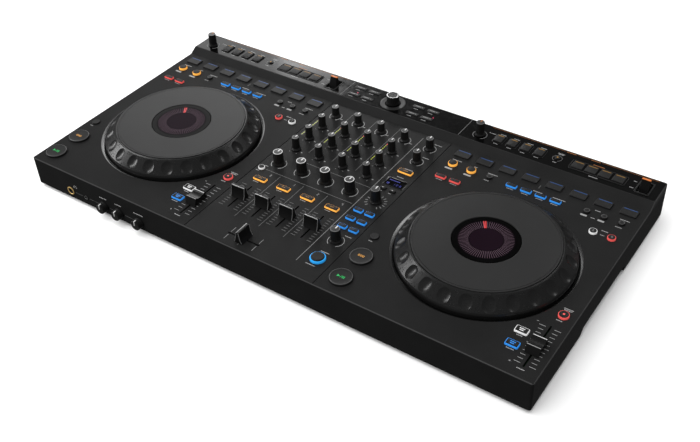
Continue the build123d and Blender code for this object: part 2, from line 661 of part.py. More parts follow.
def effect_lever(name, place):
    """Paddle that leans back a little, on a cross pin."""
    upright = Plane((place[0], place[1], LEVER_PIVOT_Z)).rotated((-LEVER_LEAN, 0, 0))
    with BuildPart() as lever:
        for offset_z, size in ((3.0, (13.4, 9.0)), (LEVER_UP, (11.0, 4.4))):
            with BuildSketch(upright.offset(offset_z)):
                RectangleRounded(*size, 1.0)
        loft()
        with BuildSketch(Plane.YZ.offset(place[0] - 5)):
            with Locations((place[1], LEVER_PIVOT_Z)):
                Circle(4.0)
        extrude(amount=10)
        with BuildSketch(Plane.YZ.offset(place[0] - 6.5)):
            with Locations((place[1], LEVER_PIVOT_Z)):
                Circle(LEVER_PIN_R + SHAFT_GAP)
        extrude(amount=13, mode=Mode.SUBTRACT)
    finish(lever, name)


for side, place in zip(("left", "right"), LEVERS):
    effect_lever(f"effect_lever_{side}", place)

with BuildPart() as lever_brackets:
    for lever in LEVERS:
        for side in (-1, 1):
            ear_x = lever[0] + side * 9.0
            with BuildSketch(Plane.YZ.offset(ear_x - 1)):
                with Locations((lever[1], LEVER_PIVOT_Z - 1.5)):
                    Rectangle(8, 7)
            extrude(amount=2)
        with BuildSketch(Plane.YZ.offset(lever[0] - 9.5)):
            with Locations((lever[1], LEVER_PIVOT_Z)):
                Circle(LEVER_PIN_R)
        extrude(amount=19)
        block((lever[0] - 10, lever[0] + 10), (lever[1] - 4, lever[1] + 4), STRIP_BOARD_Z + BOARD_T, 43.0)
finish(lever_brackets, "lever_brackets")


# ==== Knobs ====================================================================================
def knob(name, base, skirt_r, body_r, top_r, height, flutes, shaft):
    """Turned cap with grip flutes, a pointer groove on top and its shaft.

    The base plane lies on the panel, with its normal along the knob's axis.
    """
    standing = Plane(base.origin, x_dir=base.x_dir, z_dir=-base.y_dir)
    with BuildPart() as cap:
        with BuildSketch(standing):
            Polygon(
                (0, -shaft),
                (SHAFT_R, -shaft),
                (SHAFT_R, 0.8),
                (skirt_r, 0.8),
                (skirt_r, 2.0),
                (body_r, 3.6),
                (top_r, height - 0.5),
                (top_r - 0.5, height),
                (0, height),
                align=None,
            )
        revolve(axis=Axis(base.origin, base.z_dir))
        with BuildSketch(base.offset(4.0)):
            with PolarLocations(body_r + 0.45, flutes, start_angle=180 / flutes):
                Circle(0.9)
        extrude(amount=height, mode=Mode.SUBTRACT)
        with BuildSketch(base.offset(height)):
            with Locations((0, top_r / 2)):
                Rectangle(1.0, top_r)
        extrude(amount=-0.4, mode=Mode.SUBTRACT)
    finish(cap, name)


def on_deck(x, y):
    """Knob base on the mixer panel."""
    return Plane((x, y, DECK_Z))


SHAFT_DOWN = BUSH_TOP - BOARD_Z - BOARD_T - 1
KNOB_ROWS = {               # row name: place, skirt, body and top radius, height
    "trim": (TRIM_Y, 6.6, 5.2, 4.9, 16.0),
    "eq_high": (HIGH_Y, 6.6, 5.2, 4.8, 20.0),
    "eq_mid": (MID_Y, 6.6, 5.2, 4.8, 20.0),
    "eq_low": (LOW_Y, 6.6, 5.2, 4.8, 20.0),
    "channel_fx": (CFX_Y, 7.6, 6.9, 6.6, 19.5),
}
for row, (row_y, *shape) in KNOB_ROWS.items():
    for number, channel in enumerate(CHANNELS, 1):
        knob(f"{row}_{number}", on_deck(channel, row_y), *shape, 12, SHAFT_DOWN)
knob("master_level", on_deck(SECTION_X, MASTER_Y), 6.6, 5.4, 5.0, 17.5, 12, SHAFT_DOWN)
knob("booth_level", on_deck(SECTION_X, BOOTH_Y), 6.6, 5.4, 5.0, 17.5, 12, SHAFT_DOWN)
knob("fx_select", on_deck(SECTION_X, FX_SELECT_Y), 7.4, 6.4, 6.0, 20.5, 12, SHAFT_DOWN)
knob("fx_level", on_deck(SECTION_X, FX_LEVEL_Y), 7.4, 6.4, 6.0, 19.0, 12, SHAFT_DOWN)

STRIP_SHAFT = STRIP_BUSH_TOP - STRIP_BOARD_Z - BOARD_T - 1
for side, place in zip(("left", "right"), STRIP_KNOBS):
    base = Plane((place[0], place[1], CONSOLE_Z))
    knob(f"groove_knob_{side}", base, 6.8, 6.0, 5.7, 20.0, 14, STRIP_SHAFT)
knob("browse_knob", Plane((*BROWSE, CONSOLE_Z)), 9.0, 8.8, 8.6, 13.5, 24, STRIP_SHAFT)

FRONT_SHAFT = 12.0
for name, x in zip(("mic_level", "headphone_mix", "headphone_level"), FRONT_KNOBS):
    base = Plane((x, FRONT, FRONT_Z), x_dir=(1, 0, 0), z_dir=(0, -1, 0))
    knob(name, base, 7.5, 7.2, 6.9, FRONT_REACH, 14, FRONT_SHAFT)


# ==== Buttons: caps with a flange under their panel ============================================
def buttons(name, families, panel_z, plate):
    """One node for the buttons of a kind, each a separate solid."""
    floor = button_floor(panel_z, plate)
    with BuildPart() as group:
        for size, proud, places in families:
            with BuildSketch(Plane.XY.offset(floor + FLANGE_T)):
                with Locations(*places):
                    outline(size)
            extrude(amount=panel_z + proud - floor - FLANGE_T)
        tops = group.faces().filter_by(Axis.Z).filter_by(lambda face: face.center().Z > panel_z)
        chamfer([edge for face in tops for edge in face.edges()], BUTTON_EDGE)
        for size, _, places in families:
            with BuildSketch(Plane.XY.offset(floor)):
                with Locations(*places):
                    outline(size, FLANGE)
            extrude(amount=FLANGE_T)
    finish(group, name)


buttons("play_and_cue_buttons", [both(PLAY_CUE)], DECK_Z, TOP_T)
buttons("performance_pads", [both(PADS)], DECK_Z, TOP_T)
buttons("deck_buttons", [both(family) for family in DECK_BUTTONS], DECK_Z, TOP_T)
buttons("mixer_buttons", MIXER_BUTTONS, DECK_Z, MIXER_T)
buttons("console_buttons", STRIP_FAMILIES, CONSOLE_Z, TOP_T)

# ==== Sockets on the front and back faces =======================================================
JACK_NOSE = 0.6
JACKS = (                   # place, nose radius, housing width, bore radius and depth
    (HEADPHONE_X, 6.0, 14.0, JACK_R, JACK_DEPTH),
    (MINI_JACK_X, 3.0, 9.0, MINI_R, MINI_DEPTH),
)
with BuildPart() as front_jacks:
    for x, nose_r, housing, bore_r, depth in JACKS:
        nose = Plane((x, FRONT - JACK_NOSE, FRONT_Z), x_dir=(1, 0, 0), z_dir=(0, 1, 0))
        with BuildSketch(nose):
            Circle(nose_r)
        extrude(amount=JACK_NOSE + WALL + 0.3)
        with BuildSketch(nose.offset(JACK_NOSE + WALL + 0.3)):
            Rectangle(housing, housing)
        extrude(amount=depth + 1.5 - JACK_NOSE - WALL - 0.3)
        with BuildSketch(nose):
            Circle(bore_r)
        extrude(amount=depth, mode=Mode.SUBTRACT)
finish(front_jacks, "front_jacks")

LINE_DEPTH = 22.0
ROUND_SOCKETS = {           # kind: radius and reach of each step, bore radius, bore depth
    "line": ([(SOCKET_R["line"], 1.5)], JACK_R, LINE_DEPTH),
    "phono": ([(PHONO_R, FRONT_REACH), (SOCKET_R["phono"], 1.0)], 1.7, 8.0),
    "power": ([(SOCKET_R["power"], 1.0)], 2.8, 9.0),
}
with BuildPart() as rear_sockets:
    for kind, (steps, bore_r, depth) in ROUND_SOCKETS.items():
        reach = steps[0][1]
        body = [(radius, out, depth + 2 - reach + out, Mode.ADD) for radius, out in steps]
        for radius, out, length, mode in body + [(bore_r, reach, depth, Mode.SUBTRACT)]:
            outer = Plane((0, BACK + out, REAR_Z), x_dir=(1, 0, 0), z_dir=(0, -1, 0))
            with BuildSketch(outer):
                with Locations(*[(x, 0) for x in REAR_SOCKETS[kind]]):
                    Circle(radius)
            extrude(amount=length, mode=mode)
    flush = Plane((0, BACK, REAR_Z), x_dir=(1, 0, 0), z_dir=(0, -1, 0))
    with BuildSketch(flush):
        with Locations(*[(x, 0) for x in REAR_SOCKETS["usb"]]):
            RectangleRounded(*USB_SIZE, 1.3)
    extrude(amount=10)
    with BuildSketch(flush):
        with Locations(*[(x, 0) for x in REAR_SOCKETS["usb"]]):
            RectangleRounded(USB_SIZE[0] - 0.8, USB_SIZE[1] - 0.8, 0.9)
            RectangleRounded(6.6, 0.8, 0.3, mode=Mode.SUBTRACT)
    extrude(amount=7, mode=Mode.SUBTRACT)
finish(rear_sockets, "rear_sockets")

# ==== Feet and screws ============================================================================
with BuildPart() as rubber_feet:
    posts(FEET, FOOT_R, 0, FOOT_H)
    chamfer(rubber_feet.faces().sort_by(Axis.Z)[: len(FEET)].edges(), 0.8)
finish(rubber_feet, "rubber_feet")

with BuildPart() as case_screws:
    posts(SCREWS, SCREW_HEAD_R, FOOT_H + 0.1, FOOT_H + SCREW_HEAD_T)
    posts(SCREWS, SCREW_R, FOOT_H + SCREW_HEAD_T, FOOT_H + SCREW_HEAD_T + 12)
    with BuildSketch(Plane.XY.offset(FOOT_H + 0.1)):
        for turn in (0, 90):
            with Locations(*SCREWS):
                Rectangle(3.0, 0.8, rotation=turn)
    extrude(amount=0.8, mode=Mode.SUBTRACT)
finish(case_screws, "case_screws")
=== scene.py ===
"""Looks of a two-deck DJ controller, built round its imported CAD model.

Shapes are written in millimetres in the CAD's own frame and become metres when a mesh is made.
Places come from the CAD nodes: a label, light or cap is put where its button, knob or fader is.
"""

import json
import math
from collections import defaultdict

import bmesh
import bpy
from mathutils import Matrix, Vector


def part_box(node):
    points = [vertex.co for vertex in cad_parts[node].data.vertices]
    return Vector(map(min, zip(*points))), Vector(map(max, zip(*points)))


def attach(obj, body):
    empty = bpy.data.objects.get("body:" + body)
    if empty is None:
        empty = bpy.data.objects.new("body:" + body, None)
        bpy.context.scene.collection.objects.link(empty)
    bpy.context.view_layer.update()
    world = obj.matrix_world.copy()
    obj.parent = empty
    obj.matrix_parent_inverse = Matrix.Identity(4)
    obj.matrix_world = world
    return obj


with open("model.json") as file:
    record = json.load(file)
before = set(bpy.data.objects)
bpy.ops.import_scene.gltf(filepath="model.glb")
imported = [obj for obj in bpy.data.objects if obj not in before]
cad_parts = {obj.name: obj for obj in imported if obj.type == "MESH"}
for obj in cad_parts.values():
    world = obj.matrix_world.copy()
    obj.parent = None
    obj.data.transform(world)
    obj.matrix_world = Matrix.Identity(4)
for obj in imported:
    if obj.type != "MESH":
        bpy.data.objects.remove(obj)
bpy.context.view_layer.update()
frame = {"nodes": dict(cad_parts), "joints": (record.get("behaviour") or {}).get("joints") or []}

MM = 0.001
DECKS = ("left", "right")


# ==== Reading the CAD nodes ====
def box(node):
    """Lowest and highest corner of a CAD node, in millimetres."""
    low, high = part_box(node)
    return low / MM, high / MM


def node_middle(node):
    """Middle of a CAD node's box, in millimetres."""
    low, high = box(node)
    return (low + high) / 2


def solids(node):
    """The vertices of each separate solid of a CAD node, in millimetres."""
    work = bmesh.new()
    work.from_mesh(frame["nodes"][node].data)
    bmesh.ops.remove_doubles(work, verts=work.verts, dist=2e-6)
    seen, found = set(), []
    for start in work.verts:
        if start in seen:
            continue
        seen.add(start)
        group, queue = [], [start]
        while queue:
            vert = queue.pop()
            group.append(vert.co / MM)
            for edge in vert.link_edges:
                other = edge.other_vert(vert)
                if other not in seen:
                    seen.add(other)
                    queue.append(other)
        found.append(group)
    work.free()
    return found


def flat_tops(node):
    """(x, y, width, depth, z) of the flat top of each solid of a CAD node."""
    tops = []
    for points in solids(node):
        z = max(p.z for p in points)
        face = [p for p in points if p.z > z - 0.02]
        x0, x1 = min(p.x for p in face), max(p.x for p in face)
        y0, y1 = min(p.y for p in face), max(p.y for p in face)
        tops.append(((x0 + x1) / 2, (y0 + y1) / 2, x1 - x0, y1 - y0, z))
    return sorted(tops)


# ==== Materials ====
PATCHES = 26.0                # broad patches of colour per metre
SWING = 0.08                  # how far the grain moves the roughness each way
COAT_ROUGH = 0.06


def material(name, tone, rough, spec=0.3, metal=0.0, coat=0.0, grain=1400.0, depth=0.02,
             spread=0.2, glow=0.0, turned=None):
    """Procedural finish. Tone is the linear colour, spread how far it varies, grain the bumps
    per metre and depth their height in millimetres. Glow is the light it gives off in its own
    tone. Turned is the middle of fine lathe rings."""
    made = bpy.data.materials.new(name)
    made.use_nodes = True
    nodes, links = made.node_tree.nodes, made.node_tree.links
    shader = nodes["Principled BSDF"]
    place = nodes.new("ShaderNodeTexCoord").outputs["Object"]

    def vector_math(operation, source, value=(0, 0, 0)):
        node = nodes.new("ShaderNodeVectorMath")
        node.operation = operation
        links.new(source, node.inputs[0])
        node.inputs[1].default_value = value
        return node.outputs

    broad = nodes.new("ShaderNodeTexNoise")
    broad.inputs["Scale"].default_value = PATCHES
    broad.inputs["Detail"].default_value = 3.0
    links.new(place, broad.inputs["Vector"])
    mix = nodes.new("ShaderNodeMix")
    mix.data_type = "RGBA"
    mix.inputs["A"].default_value = [c * (1 - spread) for c in tone] + [1]
    mix.inputs["B"].default_value = [c * (1 + spread) for c in tone] + [1]
    links.new(broad.outputs["Fac"], mix.inputs["Factor"])
    links.new(mix.outputs["Result"], shader.inputs["Base Color"])
    fine = nodes.new("ShaderNodeTexNoise")
    fine.inputs["Detail"].default_value = 2.0
    fine.inputs["Scale"].default_value = grain
    if turned is None:
        links.new(place, fine.inputs["Vector"])
    else:
        centred = vector_math("SUBTRACT", place, (turned[0] * MM, turned[1] * MM, 0))["Vector"]
        level_part = vector_math("MULTIPLY", centred, (1, 1, 0))["Vector"]
        fine.noise_dimensions = "1D"
        links.new(vector_math("LENGTH", level_part)["Value"], fine.inputs["W"])
    bump = nodes.new("ShaderNodeBump")
    bump.inputs["Strength"].default_value = 1.0
    bump.inputs["Distance"].default_value = depth * MM
    links.new(fine.outputs["Fac"], bump.inputs["Height"])
    links.new(bump.outputs["Normal"], shader.inputs["Normal"])
    sheen = nodes.new("ShaderNodeMapRange")
    sheen.inputs["To Min"].default_value = max(rough - SWING, 0.02)
    sheen.inputs["To Max"].default_value = min(rough + SWING, 1.0)
    links.new(fine.outputs["Fac"], sheen.inputs["Value"])
    links.new(sheen.outputs["Result"], shader.inputs["Roughness"])
    shader.inputs["Specular IOR Level"].default_value = spec
    shader.inputs["Metallic"].default_value = metal
    shader.inputs["Coat Weight"].default_value = coat
    shader.inputs["Coat Roughness"].default_value = COAT_ROUGH
    if glow:
        shader.inputs["Emission Color"].default_value = [*tone, 1]
        shader.inputs["Emission Strength"].default_value = glow
    return made


def grey(value):
    """Neutral tone."""
    return (value, value, value)


JOGS = {side: [(a + b) / 2 for a, b in zip(*box(f"jog_plate_{side}"))][:2] for side in DECKS}

CASE = material("moulded_case", grey(0.0120), 0.46, spec=0.05, grain=2600, depth=0.03)
PANEL = material("mixer_plate", grey(0.0115), 0.42, spec=0.08, grain=2600, depth=0.025)
COVER = material("bottom_plate", grey(0.010), 0.6, grain=1200, depth=0.05)
INLAY = material("gloss_inlay", grey(0.0012), 0.12, spec=0.28, grain=160, depth=0.004)
BOARD = material("circuit_board", (0.008, 0.03, 0.012), 0.4, grain=900, depth=0.05, spread=0.4)
STEEL = material("steel_parts", grey(0.42), 0.32, metal=1.0, grain=2200, depth=0.01)
SPINDLE = material("spindle_plastic", grey(0.02), 0.45)
GLASS = material("screen_glass", grey(0.001), 0.2, spec=0.05, grain=90, depth=0.003)
RUBBER = material("rubber", grey(0.013), 0.75, spec=0.2, grain=1800, depth=0.06)
BUTTON = material("button_rubber", grey(0.009), 0.5, spec=0.28, grain=2400, depth=0.03)
BUTTON_GLOSS = material("button_gloss", grey(0.006), 0.22, spec=0.4, coat=0.3, grain=700, depth=0.01)
KNOB = material("knob_rubber", grey(0.008), 0.38, spec=0.35, grain=2000, depth=0.03)
KNOB_TOP = material("knob_top", grey(0.022), 0.30, spec=0.5, grain=3000, depth=0.01)
FADER = material("fader_cap", grey(0.004), 0.33, spec=0.4, grain=2000, depth=0.02)
# pale metal lines on the fader caps: painted highlights along their top and end edges
EDGE = material("bright_edge", grey(0.42), 0.30, metal=0.6, grain=2600, depth=0.01)
GOLD = material("gold_plating", (0.85, 0.58, 0.22), 0.22, metal=0.55, grain=1800, depth=0.01)
CHROME = material("chrome_ring", grey(0.62), 0.14, metal=1.0, grain=900, depth=0.004)
DISH = material("dish", grey(0.013), 0.35, spec=0.35, grain=1800, depth=0.01)
WHITE, PRINT, LINE, PALE = (material(name, grey(value), 0.5, grain=3000, depth=0.01) for name, value in (
    ("mark_white", 0.58), ("print_white", 0.30), ("print_grey", 0.15), ("print_plate", 0.26)))
# orange print; its glow is painted light, it holds no lamp
ORANGE = material("orange_print_painted_glow", (0.27, 0.10, 0.03), 0.45, grain=3000, depth=0.01, glow=0.15)
SCREEN_TICK = material("screen_tick", (0.085, 0.055, 0.072), 0.3, spec=0.02, grain=500, depth=0.004,
                       glow=0.25)
SCREEN_BACK = material("screen_back", (0.0025, 0.0018, 0.0025), 0.2, spec=0.02, grain=300, depth=0.004)
BEZEL = material("jog_bezel", grey(0.12), 0.22, spec=0.5, metal=1.0, grain=1600, depth=0.006)
# paler ring at a button's edge: a painted highlight
BUTTON_RIM_HIGHLIGHT = material("painted_button_highlight", grey(0.07), 0.3, spec=0.5, grain=2200, depth=0.01)
# pale line round a knob's top: a painted highlight
KNOB_RIM_HIGHLIGHT = material("painted_knob_highlight", grey(0.16), 0.3, spec=0.5, grain=2200, depth=0.01)
# orange lever tip; its glow is painted light, it holds no lamp
LEVER_TIP = material("lever_tip", (0.45, 0.13, 0.03), 0.4, grain=2000, depth=0.02, glow=0.15)
SCREEN_DISC = material("screen_disc", (0.008, 0.004, 0.007), 0.2, spec=0.02, grain=300, depth=0.004)
TONES = {                     # each kind of light: its tone and how strongly it glows
    "amber": ((0.78, 0.35, 0.06), 0.6), "red": ((0.52, 0.065, 0.06), 0.6),
    "blue": ((0.022, 0.175, 0.52), 0.65), "white": (grey(0.60), 0.35),
    "green": ((0.02, 0.27, 0.07), 0.6), "pad": ((0.014, 0.045, 0.14), 0.35),
    "brass": ((0.21, 0.115, 0.03), 0.3), "cue": ((0.40, 0.20, 0.05), 0.5),
    "azure": ((0.02, 0.25, 0.60), 0.5), "marker": ((0.40, 0.03, 0.03), 0.6),
    "pink": ((0.42, 0.02, 0.07), 0.5), "violet": ((0.04, 0.045, 0.22), 0.25),
    "yellow": ((0.30, 0.34, 0.03), 0.3),
}
LIGHTS = {kind: material(f"light_{kind}", tone, 0.35, grain=900, depth=0.02, glow=glow)
          for kind, (tone, glow) in TONES.items()}


# ==== Mesh building ====
class Shape:
    """Gathers closed solids in millimetres and makes one mesh of them."""

    def __init__(self, place=None):
        self.verts, self.faces, self.slots = [], [], []
        self.place = place or Matrix.Identity(4)

    def skin(self, loops, slot=0, ring=False):
        """Solid through equal loops of points: capped at both ends, or closed into a ring."""
        first, count = len(self.verts), len(loops[0])
        for loop in loops:
            self.verts += [tuple(self.place @ Vector(p)) for p in loop]
        pairs = list(zip(range(len(loops)), range(1, len(loops))))
        if ring:
            pairs.append((len(loops) - 1, 0))
        for a, b in pairs:
            for i in range(count):
                j = (i + 1) % count
                self.faces.append([first + a * count + i, first + a * count + j,
                                   first + b * count + j, first + b * count + i])
                self.slots.append(slot)
        if not ring:
            self.faces.append([first + i for i in reversed(range(count))])
            self.faces.append([first + (len(loops) - 1) * count + i for i in range(count)])
            self.slots += [slot, slot]

    def prism(self, outline, low, high, slot=0):
        """Straight solid on a flat outline."""
        self.skin([[(x, y, z) for x, y in outline] for z in (low, high)], slot)

    def bar(self, x, y, width, depth, low, high, slot=0, turn=0.0):
        """Flat rectangular mark, turned about its middle."""
        c, s = math.cos(math.radians(turn)), math.sin(math.radians(turn))
        corners = ((-0.5, -0.5), (0.5, -0.5), (0.5, 0.5), (-0.5, 0.5))
        outline = [(x + c * u * width - s * v * depth, y + s * u * width + c * v * depth)
                   for u, v in corners]
        self.prism(outline, low, high, slot)

    def lathe(self, x, y, z, section, slot=0, ring=False, count=64):
        """Round solid about (x, y), through pairs of radius and height over z."""
        self.skin([at(circle(x, y, r, count), z + h) for r, h in section], slot, ring)

    def trace(self, top, z, section, ring=True, corner=0.8):
        """Solid along the outline of a flat top, through pairs of growth and height over z."""
        self.skin([at(cap_outline(top, grow, corner), z + h) for grow, h in section], ring=ring)

    def piece(self, name, body, finish, materials, smooth=40.0):
        """Makes the mesh with its materials, and lets it ride on a body. The finish name is not used."""
        mesh = bpy.data.meshes.new(name)
        mesh.from_pydata([[c * MM for c in v] for v in self.verts], [], self.faces)
        for one in materials:
            mesh.materials.append(one)
        for polygon, slot in zip(mesh.polygons, self.slots):
            polygon.material_index = slot
        mesh.shade_smooth()
        mesh.set_sharp_from_angle(angle=math.radians(smooth))
        made = bpy.data.objects.new(name, mesh)
        bpy.context.scene.collection.objects.link(made)
        work = bmesh.new()
        work.from_mesh(mesh)
        bmesh.ops.recalc_face_normals(work, faces=work.faces)
        work.to_mesh(mesh)
        work.free()
        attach(made, body)


def circle(x, y, radius, count=40):
    return [(x + radius * math.cos(2 * math.pi * i / count),
             y + radius * math.sin(2 * math.pi * i / count)) for i in range(count)]


def rounded(x, y, width, depth, radius, count=5):
    """Rounded rectangle. Its corners keep their middles as it grows, so outlines match."""
    radius = max(min(radius, width / 2 - 0.01, depth / 2 - 0.01), 0.02)
    outline = []
    for corner, (u, v) in enumerate(((1, 1), (-1, 1), (-1, -1), (1, -1))):
        mx, my = x + u * (width / 2 - radius), y + v * (depth / 2 - radius)
        for i in range(count):
            a = math.pi / 2 * (corner + i / (count - 1))
            outline.append((mx + radius * math.cos(a), my + radius * math.sin(a)))
    return outline


def band(x, y, inner, outer, start, end, count=24):
    """Flat part of a ring, from one clock angle to another (0 is the back, 90 is the right)."""
    angles = [math.radians(start + (end - start) * i / count) for i in range(count + 1)]
    out = [(x + outer * math.sin(a), y + outer * math.cos(a)) for a in angles]
    return out + [(x + inner * math.sin(a), y + inner * math.cos(a)) for a in reversed(angles)]


def cap_outline(top, grow, corner):
    """Outline of a button's flat top, moved out by grow."""
    x, y, width, depth, _ = top
    if abs(width - depth) < 0.05:
        return circle(x, y, width / 2 + grow)
    return rounded(x, y, width + 2 * grow, depth + 2 * grow, corner + grow)


def at(outline, z):
    return [(x, y, z) for x, y in outline]


def on_side(tops, side):
    """The button tops on the left or right deck."""
    return [t for t in tops if (t[0] < 0) == (side == "left")]


def pick(tops, width):
    """The button tops of a width."""
    return [t for t in tops if abs(t[2] - width) < 0.15]


# ==== CAD nodes: finishes ====
def dress(node, finish):
    """Gives a CAD node its finish."""
    data = frame["nodes"][node].data
    if not data.materials:
        data.materials.append(finish)
    for i in range(len(data.materials)):
        data.materials[i] = finish


RIMS = {s: material(f"jog_rim_{s}", grey(0.0065), 0.30, spec=0.5, grain=900, depth=0.012) for s in DECKS}
PLATES = {s: material(f"jog_plate_{s}", grey(0.017), 0.42, spec=0.45, metal=0.35, grain=2600,
                      depth=0.006, turned=JOGS[s]) for s in DECKS}
FIXED = {
    "top_case": CASE, "bottom_cover": COVER, "mixer_panel": PANEL, "console_inlay": INLAY,
    "circuit_boards": BOARD, "jog_spindles": SPINDLE, "displays": GLASS,
    "lever_brackets": STEEL, "front_jacks": SPINDLE, "rear_sockets": SPINDLE,
    "rubber_feet": RUBBER, "case_screws": STEEL,
    "play_and_cue_buttons": BUTTON, "performance_pads": BUTTON, "deck_buttons": BUTTON,
    "mixer_buttons": BUTTON, "console_buttons": BUTTON_GLOSS,
}
for node in frame["nodes"]:
    if node in FIXED:
        dress(node, FIXED[node])
    elif node.startswith("jog_rim"):
        dress(node, RIMS[node.rsplit("_", 1)[1]])
    elif node.startswith("jog_plate"):
        dress(node, PLATES[node.rsplit("_", 1)[1]])
    elif "fader" in node or "lever" in node:
        dress(node, FADER)
    else:
        dress(node, KNOB)

# ==== Heights and tops read from the frame ====
DECK_Z = box("mixer_panel")[1].z
STRIP_Z = box("console_inlay")[1].z
INK = 0.05                    # how far print stands on its panel
SUNK = 0.05                   # and how far it reaches in
DECK_INK = (DECK_Z - SUNK, DECK_Z + INK)
STRIP_INK = (STRIP_Z - SUNK, STRIP_Z + INK)
DECK_TOPS = flat_tops("deck_buttons")
MIXER_TOPS = flat_tops("mixer_buttons")
STRIP_TOPS = flat_tops("console_buttons")
PAD_TOPS = flat_tops("performance_pads")
PLAY_TOPS = flat_tops("play_and_cue_buttons")

# Each kind of button is known by the width of its flat top.
SHIFT, LOOP, SMALL, BAR, SELECT, MASTER_TEMPO, TWO_LINE = 10.4, 11.2, 7.6, 13.2, 9.2, 11.4, 14.2
CUE_KEY, WIDE_KEY, NARROW_KEY, BLUE_KEY, BIG_ROUND = 17.7, 19.2, 7.8, 11.2, 18.4
EFFECT_KEY, ROUND_KEY, DRUM_PAD, BROWSE_KEY = 12.2, 6.8, 15.0, 18.2

CHANNELS = range(1, 5)
CHANNEL_NUMBERS = (3, 1, 2, 4)    # printed on the channels and decks, from left to right


def paint_edge_highlight(finish, tone, width):
    """Paints a highlight on a moulded case: a paler colour along the top edges of its front and sides."""
    nodes, links = finish.node_tree.nodes, finish.node_tree.links
    low, high = box("top_case")
    split = nodes.new("ShaderNodeSeparateXYZ")
    links.new(nodes["Texture Coordinate"].outputs["Object"], split.inputs[0])

    def test(source, operation, value):
        node = nodes.new("ShaderNodeMath")
        node.operation = operation
        links.new(source, node.inputs[0])
        if isinstance(value, float):
            node.inputs[1].default_value = value
        else:
            links.new(value, node.inputs[1])
        return node.outputs[0]

    x, y, z = split.outputs
    side = test(test(x, "ABSOLUTE", 0.0), "GREATER_THAN", (high.x - width) * MM)
    front = test(y, "LESS_THAN", (low.y + width) * MM)
    rim = test(side, "MAXIMUM", front)
    mask = test(rim, "MULTIPLY", test(z, "GREATER_THAN", (DECK_Z - width) * MM))
    mix = nodes.new("ShaderNodeMix")
    mix.data_type = "RGBA"
    base = nodes["Principled BSDF"].inputs["Base Color"]
    links.new(base.links[0].from_socket, mix.inputs["A"])
    mix.inputs["B"].default_value = [*tone, 1]
    links.new(mask, mix.inputs["Factor"])
    links.new(mix.outputs["Result"], base)


# painted highlight: the case's top front and side edges are coloured paler where a lit chamfer would show
paint_edge_highlight(CASE, grey(0.045), width=0.9)

# ==== Small repeated shapes ====
LEDGE = 0.32                  # lit rim that shows round a button's dark cap
THIN = 0.12                   # the same on the buttons with a thin outline
CAP_UP = 0.5                  # how far the cap stands over the rim


def light_frame(shape, top, ledge):
    """Lit translucent wall of a button, from inside its hole up to the thin rim round its cap."""
    z, foot = top[4], DECK_Z - 0.8
    shape.trace(top, 0, ((0.5, foot), (0.5, z - 0.3), (0.25, z + 0.06), (-ledge, z + 0.06),
                         (-ledge, z - 0.1), (0.2, foot)))


def dark_cap(shape, top, inset=LEDGE, rise=CAP_UP):
    """Dark cap with a softened edge that stands on a button."""
    z = top[4]
    shape.trace(top, 0, ((-inset + 0.02, z - 0.05), (-inset + 0.02, z + rise - 0.3),
                         (-inset - 0.1, z + rise - 0.08), (-inset - 0.35, z + rise)), ring=False)


def label(shape, x, y, width, z=DECK_Z, height=1.05, slot=0):
    """Row of short dashes that stands for a printed word."""
    lengths, gap = (1.3, 0.8, 1.1, 0.7, 1.5, 0.9), 0.35
    used, i = 0.0, 0
    while used < width - 0.3:
        length = min(lengths[i % len(lengths)], width - used)
        u = used + length / 2 - width / 2
        shape.bar(x + u, y, length, height, z - SUNK, z + INK, slot)
        used += length + gap
        i += 1


DIGIT_BARS = {                # seven bars: top, middle, bottom, upper and lower left and right
    "top": (0, 1, 1, 0), "mid": (0, 0, 1, 0), "low": (0, -1, 1, 0),
    "ul": (-0.5, 0.5, 0, 1), "ll": (-0.5, -0.5, 0, 1), "ur": (0.5, 0.5, 0, 1), "lr": (0.5, -0.5, 0, 1),
}
DIGITS = {
    0: "top low ul ll ur lr", 1: "ur lr", 2: "top mid low ur ll", 3: "top mid low ur lr",
    4: "mid ul ur lr", 8: "top mid low ul ll ur lr",
}


def digit(shape, number, x, y, size, low, high, slot=0, stroke=0.22):
    """One number in seven bars; size is half its height."""
    for bar in DIGITS[number].split():
        u, v, wide, tall = DIGIT_BARS[bar]
        shape.bar(x + u * size, y + v * size, (wide + stroke) * size if wide else stroke * size,
                  (tall + stroke) * size if tall else stroke * size, low, high, slot)


def travel(node):
    """Middle of a fader's cap, its top, and how far it runs each way, in millimetres."""
    joint = next(j for j in frame["joints"] if j["child"] == node)
    a, b = (v / MM for v in joint["range_m"])
    return node_middle(node), box(node)[1].z, a, b


def scale(shape, x, rows, gap, lengths, thick):
    """Ticks on both sides of a fader's slot; the first, middle and last are the long ones."""
    for i, y in enumerate(rows):
        wide = lengths[i % 5 > 0]
        for end in (-1, 1):
            shape.bar(x + end * (gap + wide / 2), y, wide, thick, *DECK_INK, 1)


def arcs(shape, knob, inner, outer, start, end):
    """Printed arcs on the right and left of a knob, between two clock angles."""
    for first, last in ((start, end), (-end, -start)):
        shape.prism(band(knob.x, knob.y, inner, outer, first, last), *DECK_INK)


# ==== Decks: print, lights and caps, each placed from its own button ====
lights = defaultdict(Shape)   # (body, colour): the shape that gathers those lights
caps = defaultdict(Shape)     # body: the dark caps


def lit(node, top, colour, ledge=LEDGE):
    """A button's light and the dark cap inside its lit rim."""
    light_frame(lights[node, colour], top, ledge)
    dark_cap(caps[node], top, inset=ledge)


